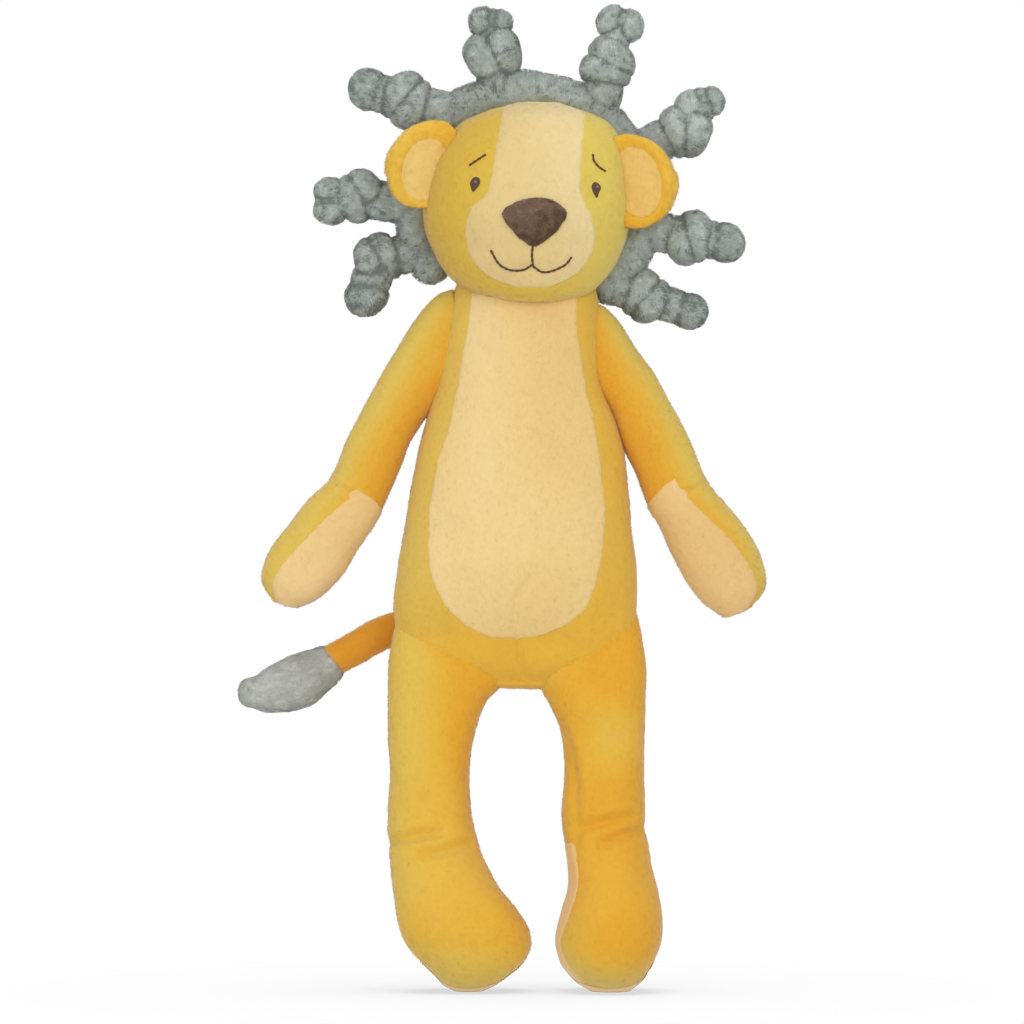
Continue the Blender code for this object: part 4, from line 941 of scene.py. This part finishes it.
def plush_material(name, palette, grain=GRAIN, contrast=GRAIN_CONTRAST):
    """Short pile: colour follows the drift kept at each point, painted sheen, painted light and painted
    shade included, over a fine grain.
    """
    cloth, tree, shader = new_material(name, PLUSH_SURFACE)
    where = new_node(tree, "TexCoord")
    stretched = new_node(tree, "Mapping", {"Scale": GRAIN_STRETCH})
    drift = new_node(tree, "Attribute", attribute_name="drift")
    noise = {"Scale": grain, "Detail": GRAIN_DETAIL, "Roughness": GRAIN_ROUGHNESS}
    fine = new_node(tree, "TexNoise", noise)
    speck = new_node(tree, "Math", {1: contrast}, operation="MULTIPLY_ADD")
    mixed = new_node(tree, "Math", {1: contrast / 2}, operation="SUBTRACT")
    ramp = new_node(tree, "ValToRGB")
    elements = ramp.color_ramp.elements
    for element, position in zip(elements, RAMP_ENDS):
        element.position = position
    elements.new(0.5)
    for element, colour in zip(elements, palette):
        element.color = (*colour, 1)
    raised = new_node(tree, "Bump", {"Distance": BUMP_DISTANCE, "Strength": BUMP_STRENGTH})
    link(
        tree,
        (where, "Object", stretched, "Vector"),
        (stretched, "Vector", fine, "Vector"),
        (fine, "Fac", speck, 0),
        (drift, "Fac", speck, 2),
        (speck, "Value", mixed, 0),
        (mixed, "Value", ramp, "Fac"),
        (ramp, "Color", shader, "Base Color"),
        (fine, "Fac", raised, "Height"),
        (raised, "Normal", shader, "Normal"),
    )
    return cloth


class Cloth:
    """A cloth: its material and slot, its palette from deep to light, and how its colour drifts."""

    def __init__(self, name, slot, palette, drift, spread=0.15, **looks):
        self.slot = slot
        self.palette = palette
        self.drift = drift
        self.spread = spread
        self.material = plush_material(name, palette, **looks)

    def drifting(self, drift):
        """The same cloth with another drift of its colour."""
        other = copy.copy(self)
        other.drift = drift
        return other


class Thread:
    """Embroidery thread in one colour."""

    def __init__(self, name, slot, colour, surface):
        self.slot = slot
        self.drift = None
        self.material = plain_material(name, colour, surface)


def wander(points):
    return lattice_noise(points, DRIFT_SIZE, DRIFT_SEED)


def even_drift(points, normals):
    level, loose = EVEN_DRIFT
    return level + loose * wander(points)


def fleece_drift(points, normals):
    level, loose = FLEECE_DRIFT
    return level + loose * wander(points)


def painted_sheen_drift(points, normals):
    """Painted sheen: deeper on the front of a limb, lighter along its sides."""
    level, edge, loose = PAINTED_SHEEN_DRIFT
    return level + edge * (1 - np.abs(normals[:, 1])) ** PAINTED_SHEEN_CURVE + loose * wander(points)


def arm_painted_sheen_drift(points, normals):
    """Painted sheen: lemon along the outer side of an arm, orange along its inner side."""
    level, left, outer, loose = ARM_DRIFT
    side = np.sign(points[:, 0] - NECK[0])
    outward = side * normals[:, 0] * ARM_OUTWARD[0] + normals[:, 2] * ARM_OUTWARD[1]
    return level - left * side + outer * outward + loose * wander(points)


def leg_sheen_and_floor_light_drift(points, normals):
    """Painted sheen lemon along the lion's right side of each leg, orange along its left, and painted light
    from the floor under the foot.
    """
    level, left, foot, loose = LEG_DRIFT
    low = np.clip(1 - points[:, 2] / PAINTED_FLOOR_LIGHT_FADE, 0, 1)
    return level - left * normals[:, 0] + foot * low + loose * wander(points)


def body_drift(points, normals):
    """Lighter up the lion's right side of the torso, deeper up its left side and at the hips."""
    level, chest, right, loose = BODY_DRIFT
    up = np.clip((points[:, 2] - HIP_HEIGHT) / HIP_FADE, 0, 1)
    across = (NECK[0] - points[:, 0]) / HEAD_HALF_WIDTH
    return level + up * (chest + right * across) + loose * wander(points)


def head_painted_light_drift(points, normals):
    """Painted light and shade: lemon on the lion's left, where the light falls, ochre in painted shade on
    its right.
    """
    level, left, loose = HEAD_PAINTED_LIGHT_DRIFT
    across = (points[:, 0] - place(HEAD_MIDDLE_X, 0)[0]) / HEAD_HALF_WIDTH
    return level + left * across + loose * wander(points)


CLOTHS = {
    "head": Cloth("head_yellow", "yellow_plush", HEAD_YELLOW, head_painted_light_drift),
    "torso": Cloth("body_yellow", "yellow_plush", BODY_YELLOW, body_drift),
    "arm": Cloth("arm_yellow", "yellow_plush", ARM_YELLOW, arm_painted_sheen_drift),
    "leg": Cloth("leg_yellow", "yellow_plush", LEG_YELLOW, leg_sheen_and_floor_light_drift),
    "face": Cloth("face_cream", "cream_plush", FACE_CREAM, head_painted_light_drift),
    "belly": Cloth("belly_cream", "cream_plush", BELLY_CREAM, even_drift),
    "paw": Cloth("paw_cream", "cream_plush", PAW_CREAM, even_drift),
    "ear": Cloth("ear_yellow", "ear_plush", EAR_YELLOW, painted_sheen_drift, 0.35),
    "lining": Cloth("ear_lining", "ear_plush", LINING_ORANGE, even_drift, 0.25),
    "tail": Cloth("tail_orange", "tail_plush", TAIL_ORANGE, painted_sheen_drift),
    "strand": Cloth("grey_fleece", "grey_fleece", GREY, fleece_drift, 0.4, **FLEECE_LOOK),
    "ring": Cloth("ring_fleece", "grey_fleece", RING_SHADED_GREY, fleece_drift, 0.4, **FLEECE_LOOK),
    "tuft": Cloth("tuft_fleece", "grey_fleece", TUFT_GREY, fleece_drift, 0.35, **FLEECE_LOOK),
    "nose": Cloth("nose_plush", "nose_plush", BROWN, even_drift, 0.35, contrast=NOSE_CONTRAST),
    "eye": Thread("eye_thread", "eye_thread", THREAD, THREAD_SURFACE),
    "shine": Thread("eye_shine", "eye_thread", SHINE, SHINE_SURFACE),
}


# Pieces and their pile


def ride(body, *things):
    for thing in things:
        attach(thing, body)


def bend(carrier, body, start, end, *things):
    """Bakes the placement of each piece into its mesh."""
    for thing in things:
        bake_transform(thing)


def piece(name, kind, shell, nodes=(), cloth=None):
    """A piece of cloth or thread, for the nodes that it stands for. Its colour drift is kept as a
    value at each point."""
    cloth = cloth or CLOTHS[kind]
    sets = [faces for faces in (shell.quads, shell.tris) if len(faces)]
    thing = mesh_object(name, shell.points, sets, [cloth.material])
    if cloth.drift is not None:
        drift = thing.data.attributes.new("drift", "FLOAT", "POINT")
        values = np.clip(cloth.drift(shell.points, shell.normals()), 0, 1)
        drift.data.foreach_set("value", values.astype(np.float32))
    if nodes:
        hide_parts(*nodes)
    return thing


def scattered(shell, density, seed, keep):
    """Random places on a shell with their normals, so many to a square metre."""
    rng = np.random.default_rng(seed)
    areas = np.linalg.norm(shell.facing(), axis=1) / 2
    count = int(areas.sum() * density)
    chosen = shell.triangles()[rng.choice(len(areas), count, p=areas / areas.sum())]
    u, v = rng.random((2, count))[..., None]
    swap = u + v > 1
    u[swap], v[swap] = 1 - u[swap], 1 - v[swap]

    def inside(values):
        a, b, c = (values[column] for column in chosen.T)
        return a + u * (b - a) + v * (c - a)

    points, normals = inside(shell.points), unit(inside(shell.normals()))
    if keep is None:
        return points, normals
    kept = keep(points, normals)
    return points[kept], normals[kept]


def downward(points):
    return np.tile((0.0, 0.0, -1.0), (len(points), 1))


def clear_of(shell):
    """Keeps only what is clear of a panel."""
    tree = shell.tree()

    def keep(points, normals):
        return np.array([tree.find_nearest(Vector(p), PANEL_CLEARANCE)[0] is None for p in points])

    return keep


def front_only(points, normals):
    return normals[:, 1] < PILE_LIMIT


def hair_mesh(hair, roots, normals, lying, half, beside):
    """Closed three-sided hairs: their corners, the direction each corner is shaded in, and faces."""
    first = unit(normals + hair.lean * lying)
    second = unit(normals * (1 - hair.curl) + (hair.lean + hair.curl) * lying)
    side = unit(np.cross(first, beside))
    over = np.cross(first, side)
    base = roots - normals * hair.width
    middle = roots + first * half
    corners = 7 if hair.bent else 4
    points = np.zeros((len(roots), corners, 3))
    shading = np.zeros((len(roots), corners, 3))
    start = np.arange(len(roots))[:, None] * corners
    tris = [start + np.array((2, 1, 0))]
    quads = []
    for k in range(3):
        after = (k + 1) % 3
        turn = math.tau * k / 3
        spoke = math.cos(turn) * side + math.sin(turn) * over
        points[:, k] = base + spoke * hair.width / 2
        shading[:, k] = normals + HAIR_ROUNDNESS * spoke
        if hair.bent:
            points[:, k + 3] = middle + spoke * hair.width * HAIR_WAIST_SHARE
            shading[:, k + 3] = shading[:, k]
            quads.append(start + np.array((k, after, after + 3, k + 3)))
            tris.append(start + np.array((k + 3, after + 3, 6)))
        else:
            tris.append(start + np.array((k, after, 3)))
    points[:, -1] = middle + second * half
    shading[:, -1] = normals + TIP_ROUNDNESS * lying
    return points, shading, [np.vstack(sort) for sort in (quads, tris) if sort]


def pile(name, kind, shell, keep=None, lay=downward, cloth=None, number=0):
    """The pile of a piece, hair by hair. lay gives the direction the hairs lie in."""
    cloth = cloth or CLOTHS[kind]
    hair, density, seed = PILES[kind]
    seed += number
    roots, normals = scattered(shell, density, seed, keep)
    rng = np.random.default_rng(seed)
    count = len(roots)
    tufts = np.stack([lattice_noise(roots, TUFT_SIZE, seed + k) for k in TUFT_SEEDS], axis=1)
    lying = lay(roots) + TUFT_PULL * tufts + rng.normal(0, LAY_SCATTER, (count, 3))
    lying = unit(lying - normals * np.einsum("ij,ij->i", lying, normals)[:, None])
    shares = LENGTH_LEAST + LENGTH_SCATTER * rng.random(count)
    shares += LENGTH_DRIFT * lattice_noise(roots, TUFT_SIZE, seed + LENGTH_SEED)
    half = (hair.length * shares / 2)[:, None]
    beside = normals + SIDE_SHIFT + rng.normal(0, SIDE_SCATTER, (count, 3))
    points, shading, faces = hair_mesh(hair, roots, normals, lying, half, beside)
    spread = lattice_noise(roots, TUFT_SIZE, seed + SHADE_SEED) + rng.normal(0, SHADE_SCATTER, count)
    # Each hair takes a tint from the cloth's drift, painted sheen, light and shade included
    shade = np.digitize(cloth.drift(roots, normals) + cloth.spread * spread, SHADE_BORDERS)
    hairs = [plain_material(f"{name}_{k}", colour) for k, colour in enumerate(cloth.palette)]
    # A hair has as many faces as corners
    shades = np.tile(shade, points.shape[1])
    thing = mesh_object(name, points.reshape(-1, 3), faces, hairs, shades)
    thing.data.normals_split_custom_set_from_vertices(unit(shading.reshape(-1, 3)))
    thing.visible_shadow = hair.bent
    return thing


# Head


def muzzle(points):
    """Push the head's middle forward at the muzzle and draw it in at the eyes."""
    x, y = seen(points)
    swell = np.zeros(points.shape[:-1])
    for middle_x, middle_y, wide, high, depth in FACE_BUMPS:
        swell += depth * np.exp(-(((x - middle_x) / wide) ** 2) - ((y - middle_y) / high) ** 2)
    moved = points.copy()
    moved[..., 1] -= swell * np.clip((NECK[1] - points[..., 1]) / FACE_BUMPS_FADE, 0, 1)
    return moved


def make_head():
    form = Form(HEAD_ROWS, *HEAD_FORM)
    skin = form.shell()
    skin.points = muzzle(skin.points)
    soften(skin)
    under(skin, FACE_ROWS, FACE_SINK)
    face = soften(form.front_panel(FACE_ROWS, muzzle))
    ride(
        "head",
        piece("head", "head", skin, ("head_skin", "head_filling")),
        piece("face", "face", face, ("face_panel",)),
        pile("head_pile", "head", skin, clear_of(face)),
        pile("face_pile", "face", face, front_only),
    )
    return joined(skin, face)


def make_face_details(tree):
    nose = pad_shell(tree, NOSE_OUTLINE, *NOSE_PAD)
    soften(nose, 0, NOSE_NAP)
    centre = place(*NOSE_MIDDLE)

    def outward(points):
        return unit((points - centre) * (1, 0, 1) + NOSE_LAY)

    ride(
        "head",
        piece("nose", "nose", nose, ("nose_patch",)),
        pile("nose_pile", "nose", nose, front_only, outward),
    )
    for side in SIDES:
        eye = pad_shell(tree, EYE_OUTLINES[side], *EYE_PAD)
        light = pad_shell(eye.tree(), SHINE_OUTLINES[side], *SHINE_PAD, nearer=SHINE_NEARER)
        ride(
            "head",
            piece(f"eye_{side}_pad", "eye", eye, (f"eye_{side}",)),
            piece(f"eye_{side}_shine", "shine", light),
        )
    for name, line in THREAD_LINES.items():
        ride("head", piece(name, "eye", thread_shell(tree, line)))


def make_ear(side):
    rows = EAR_ROWS[side]
    ear = soften(Form(rows, *EAR_FORM).shell(), EAR_LUMP)
    x, y, long, wide, lean = LININGS[side]
    cosine, sine = math.cos(math.radians(lean)), math.sin(math.radians(lean))
    shown_x, shown_y = seen(ear.points)
    right, up = shown_x - x, y - shown_y
    along = (up * cosine + right * sine) / long
    over = (right * cosine - up * sine) / wide
    inside = np.clip(EAR_HOLLOW_SHARE - np.hypot(along, over), 0, EAR_HOLLOW_FADE) / EAR_HOLLOW_FADE
    front = ear.normals()[:, 1] < FRONT_LIMIT
    ear.points[:, 1] += EAR_HOLLOW * inside * inside * (3 - 2 * inside) * front
    outline = []
    for k in range(LINING_POINTS):
        angle = math.tau * k / LINING_POINTS
        far, out = long * math.cos(angle), wide * math.sin(angle)
        outline.append((x + (out * cosine + far * sine), y - far * cosine + out * sine))
    pad = soften(pad_shell(ear.tree(), outline, *LINING_PAD), LINING_LUMP)
    body = f"ear_{side}"
    root, tip = row_middle(rows[0]), row_middle(rows[-1])
    bend(
        "head", body, root, root + EAR_BEND_SHARE * (tip - root),
        piece(f"{body}_rim", "ear", ear, (body,)),
        piece(f"{body}_pad", "lining", pad, (f"ear_lining_{side}",)),
        pile(f"{body}_pile", "ear", ear, clear_of(pad)),
        pile(f"{body}_pad_pile", "lining", pad, front_only),
    )


# Mane


def from_rod(points, rod):
    """How far points are from a rod with round ends."""
    start, end, radius = rod
    axis = end - start
    share = np.clip((points - start) @ axis / (axis @ axis), 0, 1)
    return np.linalg.norm(points - start - share[:, None] * axis, axis=1) - radius


def from_turn(points, turn):
    """How far points are from one round turn of a strand."""
    middle, axis, reach, radius = turn
    height = (points - middle) @ axis
    across = np.linalg.norm(points - middle - height[:, None] * axis, axis=1)
    return np.hypot(across - reach, height) - radius


def turn_shell(turn):
    """One round turn of a strand as a closed tube."""
    middle, axis, reach, radius = turn
    side = unit(np.cross(axis, TURN_AWAY))
    angles = np.linspace(0, math.tau, TURN_POINTS)[:, None]
    points = middle + reach * (np.cos(angles) * side + np.sin(angles) * np.cross(axis, side))
    return tube_shell(points, np.full(len(points), radius), TURN_SIDES)


def strand_parts(row):
    """The rods and turns that a knotted strand is made of, its root and knot, and where it points."""
    root, knot, knot_radius, lean, lobes = row
    root, knot = (place(*spot, -RING_DEPTH) for spot in (root, knot))
    knot_radius *= PIXEL
    tips = [place(x, y, -RING_DEPTH) for x, y, radius in lobes]
    radii = [radius * PIXEL for x, y, radius in lobes]
    tip = np.mean(tips, axis=0)
    outward = unit(tip - root)
    along = np.cross((0, 1, 0), outward)
    rods = [(root, knot, ROOT_STEM), (knot, tip, TIP_STEM_SHARE * max(radii))]
    rods += [(spot - radius / TIP_LOBE_PARTS * outward, spot, radius) for spot, radius in zip(tips, radii)]
    turns = []
    for side in (-1, 1):
        tilt = math.radians(lean) + side * TURNS_CROSS
        axis = math.cos(tilt) * outward + math.sin(tilt) * along
        axis = unit(axis + side * math.sin(TURNS_CROSS) * np.array((0, 1, 0)))
        middle = knot + side * TURNS_APART_SHARE * knot_radius * axis
        reach = (1 - TURN_TUBE_SHARE) * knot_radius
        turns.append((middle, axis, reach, TURN_TUBE_SHARE * knot_radius))
    return rods, turns, root, knot, outward


def make_strand(number, row):
    """A strand of the mane: a root, an overhand knot pulled tight into two turns, and a tip."""
    rods, turns, root, knot, outward = strand_parts(row)

    def folded(points):
        """1 in the folds where two parts of the strand meet, 0 away from them."""
        gaps = [from_rod(points, rod) for rod in rods] + [from_turn(points, turn) for turn in turns]
        nearest = np.sort(gaps, axis=0)
        return np.exp(-(((nearest[1] - nearest[0]) / FOLD_GAP) ** 2))

    # Painted shade: the strand's colour is darker in the folds where two parts meet
    def drift(points, normals):
        return fleece_drift(points, normals) - FOLD_PAINTED_SHADE * folded(points)

    def lay(points):
        return unit(STRAND_LAY * outward + (points - knot) / (2 * ROOT_STEM))

    stems = [tube_shell([start, end], [radius, radius], STRAND_SIDES) for start, end, radius in rods]
    core = fused(*stems, *[turn_shell(turn) for turn in turns])
    core.push(-FOLD_DEPTH * folded(core.points))
    core.lump(*STRAND_LUMPS, number)
    cloth = CLOTHS["strand"].drifting(drift)
    body = f"strand_{number}"
    bend(
        "head", body, root, knot,
        piece(f"{body}_core", "strand", core, (f"mane_strand_{number}",), cloth),
        pile(f"{body}_pile", "strand", core, None, lay, cloth, number),
    )


def make_ring():
    turns = np.radians(np.linspace(RING_START, RING_END, RING_POINTS))
    centre = place(*RING_CENTRE, -RING_DEPTH)
    points = centre + RING_RADIUS * np.stack([np.cos(turns), 0 * turns, np.sin(turns)], axis=1)
    swell, size, seed = RING_SWELL
    ring = tube_shell(points, RING_TUBE * (1 + swell * lattice_noise(points, size, seed)), RING_SIDES)
    ring.lump(*RING_LUMPS)

    def lay(points):
        return unit((points - centre) * RING_LAY)

    ride(
        "head",
        piece("mane_roll", "ring", ring, ("mane_ring",)),
        pile("mane_roll_pile", "ring", ring, None, lay),
    )


# Body and limbs


def make_torso():
    form = Form(TORSO_ROWS, *TORSO_FORM)
    skin = soften(form.shell(), TORSO_LUMP)
    under(skin, BELLY_ROWS, BELLY_SINK)
    belly = soften(soften(form.front_panel(BELLY_ROWS)), BELLY_LUMP, 0)
    crease(belly, *BELLY_CREASE)
    crease(skin, *TORSO_CREASE)
    ride(
        "torso",
        piece("torso", "torso", skin, ("torso_skin", "torso_filling", "neck_seam")),
        piece("belly", "belly", belly, ("belly_panel",)),
        pile("torso_pile", "torso", skin, clear_of(belly)),
        pile("belly_pile", "belly", belly, front_only),
    )


def paw_panel(form, side):
    shares, corner_rings = PAW_EDGES[side]
    wrist = np.argmin(np.linalg.norm(form.middles - row_middle(ARM_ROWS[side][WRIST_ROW]), axis=1))
    last = len(form.table) - 1
    palm = wrist + PAW_PALM_SHARE * (last - wrist)
    rings = np.array([wrist - corner_rings, wrist + PAW_WRIST_RINGS, palm, last])
    edge = form.turn_at(np.array(shares))
    corner_turn, low_turn = PAW_TURNS[side]
    other = np.concatenate([edge[:1] + corner_turn, np.full(len(edge) - 1, low_turn)])
    first, second = (other, edge) if side == "right" else (edge, other)
    return soften(form.patch(rings, first, second), ARM_LUMP)


def make_arm(side):
    form = Form(ARM_ROWS[side], *ARM_FORM)
    skin = soften(form.shell(), ARM_LUMP)
    paw = paw_panel(form, side)
    row = ARM_ROWS[side][WRIST_ROW]
    crease(skin, (row[:2], row[2:4]), WRIST_DEPTH, CREASE_WIDTH)
    body = f"arm_{side}"
    start, end = ARM_BENDS[side]
    bend(
        "torso", body, place(*start), place(*end),
        piece(body, "arm", skin, (f"{body}_skin", f"{body}_filling")),
        piece(f"paw_{side}", "paw", paw, (f"paw_panel_{side}",)),
        pile(f"{body}_pile", "arm", skin, clear_of(paw)),
        pile(f"paw_{side}_pile", "paw", paw),
    )


def on_floor(shell, height=0.0):
    shell.points[:, 2] = np.maximum(shell.points[:, 2], height)


def sole_shell(form):
    """The sole, a thin bowl under the foot whose edge is higher at the heel."""
    turns = np.arange(SOLE_SIDES) * math.tau / SOLE_SIDES
    toe, heel = form.ring_at((SOLE_TOE_Y, SOLE_HEEL_Y))
    edge = heel + (toe - heel) * (1 + np.sin(turns)) / 2
    rings = edge + (len(form.table) - 1 - edge) * np.linspace(0, 1, SOLE_RINGS)[:, None]
    skin = form.surface(rings, np.tile(turns, (SOLE_RINGS, 1)))
    centre = form.middles[int(heel)]
    inner = centre + (skin - centre) * SOLE_INNER_SHARE
    outer = centre + (skin - centre) * SOLE_OUTER_SHARE
    return grid_shell(np.concatenate([inner[::-1], outer]))


def make_leg(side):
    form = Form(LEG_ROWS[side], *LEG_FORM)
    skin = soften(form.shell(), LEG_LUMP)
    for line, depth in LEG_CREASES[side]:
        crease(skin, line, depth, FOLD_WIDTH)
    on_floor(skin, SOLE_RAISE)
    sole = sole_shell(form)
    if SOLE_STRIPS[side]:
        heights, first, last = zip(*SOLE_STRIPS[side])
        sole = joined(sole, soften(form.patch(form.ring_at(heights), first, last), LEG_LUMP))
    on_floor(sole)
    bare = clear_of(sole)

    def above(points, normals):
        return bare(points, normals) & (points[:, 2] > SOLE_BARE)

    body = f"leg_{side}"
    row = LEG_ROWS[side][1]
    hip = place((row[0] + row[2]) / 2, HIP_Y)
    bend(
        "torso", body, hip, hip - np.array((0, 0, HIP_BEND)),
        piece(body, "leg", skin, (f"{body}_skin", f"{body}_filling")),
        piece(f"sole_{side}", "paw", sole, (f"sole_panel_{side}",)),
        pile(f"{body}_pile", "leg", skin, above),
    )


def make_tail():
    route = smooth_rows([place(*row) for row in TAIL_ROUTE], SPACING)
    tail = soften(tube_shell(route, np.linspace(*TAIL_TUBES, len(route)), TAIL_SIDES), TAIL_LUMP)
    bend(
        "torso", "tail", place(*TAIL_ROUTE[0]), place(*TAIL_ROUTE[TAIL_BEND_ROW]),
        piece("tail_skin", "tail", tail, ("tail",)),
        pile("tail_pile", "tail", tail),
    )
    rows = smooth_rows([(*place(x, y, depth), radius) for x, y, depth, radius in TUFT_ROWS], TUFT_SPACING)
    tuft = fused(tube_shell(rows[:, :3], rows[:, 3], STRAND_SIDES))
    tuft.lump(*TUFT_LUMPS)
    ahead = unit(rows[-1, :3] - rows[0, :3])

    def lay(points):
        return np.tile(ahead, (len(points), 1))

    ride(
        "tail",
        piece("tuft_core", "tuft", tuft, ("tail_tuft",)),
        pile("tuft_pile", "tuft", tuft, None, lay),
    )


# Stage, light and camera


def make_stage():
    """A white disc that takes the shadow, and does not throw light back on the toy."""
    turns = np.arange(FLOOR_SIDES) * math.tau / FLOOR_SIDES
    points = FLOOR_RADIUS * np.stack([np.cos(turns), np.sin(turns), 0 * turns], axis=1)
    cloth = new_material("floor", FLOOR_SURFACE)[0]
    floor = mesh_object("floor", points, [np.arange(FLOOR_SIDES)[None, :]], [cloth], smooth=False)
    floor.is_shadow_catcher = True
    floor.visible_diffuse = False


def make_world():
    """Plain light all round; white where the camera, a mirror or a clear thing sees it."""
    world = bpy.data.worlds.new("studio")
    bpy.context.scene.world = world
    world.use_nodes = True
    tree = world.node_tree
    tree.nodes.clear()
    rays = new_node(tree, "LightPath")
    straight = rays.outputs["Is Camera Ray"]
    for ray in ("Is Glossy Ray", "Is Transmission Ray"):
        either = new_node(tree, "Math", operation="MAXIMUM")
        tree.links.new(straight, either.inputs[0])
        tree.links.new(rays.outputs[ray], either.inputs[1])
        straight = either.outputs["Value"]
    white = new_node(tree, "Background", {"Color": WHITE, "Strength": 1})
    soft = new_node(tree, "Background", {"Color": WHITE, "Strength": AMBIENT})
    mixed = new_node(tree, "MixShader")
    out = new_node(tree, "OutputWorld")
    tree.links.new(straight, mixed.inputs["Fac"])
    link(
        tree,
        (soft, "Background", mixed, 1),
        (white, "Background", mixed, 2),
        (mixed, "Shader", out, "Surface"),
    )


def new_lamp(name, kind, lit, **settings):
    data = bpy.data.lights.new(name, kind)
    set_all(data, settings)
    lamp = add_object(name, data)
    lamp.light_linking.receiver_collection = lit
    return lamp


def make_lamps():
    """Lamps that light only the toy, and two from above that light only the floor."""
    toy, ground, feet = (bpy.data.collections.new(name) for name in ("toy", "ground", "feet"))
    for thing in bpy.context.scene.collection.objects:
        (ground if thing.name == "floor" else toy).objects.link(thing)
    for side in SIDES:
        feet.objects.link(bpy.data.objects[f"leg_{side}"])
    for name, spot, size, power in LAMPS:
        lamp = new_lamp(name, "AREA", toy, shape="DISK", size=size, energy=power)
        lamp.location = spot
        lamp.rotation_euler = (LAMP_TARGET - Vector(spot)).to_track_quat("-Z", "Y").to_euler()
    for name, strength, shaded in FLOOR_LAMPS:
        settings = {"energy": strength, "angle": FLOOR_LAMP_ANGLE, "use_shadow": shaded}
        lamp = new_lamp(name, "SUN", ground, **settings)
        lamp.light_linking.blocker_collection = feet


def make_camera():
    scene = bpy.context.scene
    data = bpy.data.cameras.new("camera")
    data.sensor_width = SENSOR_WIDTH
    data.lens = SENSOR_WIDTH * CAMERA_DISTANCE / (IMAGE_SIZE * PIXEL)
    data.clip_end = CAMERA_END
    camera = add_object("camera", data)
    camera.location = place(IMAGE_SIZE / 2, IMAGE_SIZE / 2, CAMERA_DISTANCE)
    camera.rotation_euler = (math.pi / 2, 0, 0)
    scene.camera = camera
    scene.view_settings.view_transform = "Standard"


def main():
    head = make_head()
    make_face_details(head.tree())
    for side in SIDES:
        make_ear(side)
    make_ring()
    for number, row in enumerate(STRANDS, 1):
        make_strand(number, row)
    make_torso()
    for side in SIDES:
        make_arm(side)
    for side in SIDES:
        make_leg(side)
    make_tail()
    make_stage()
    make_world()
    make_lamps()
    make_camera()


main()
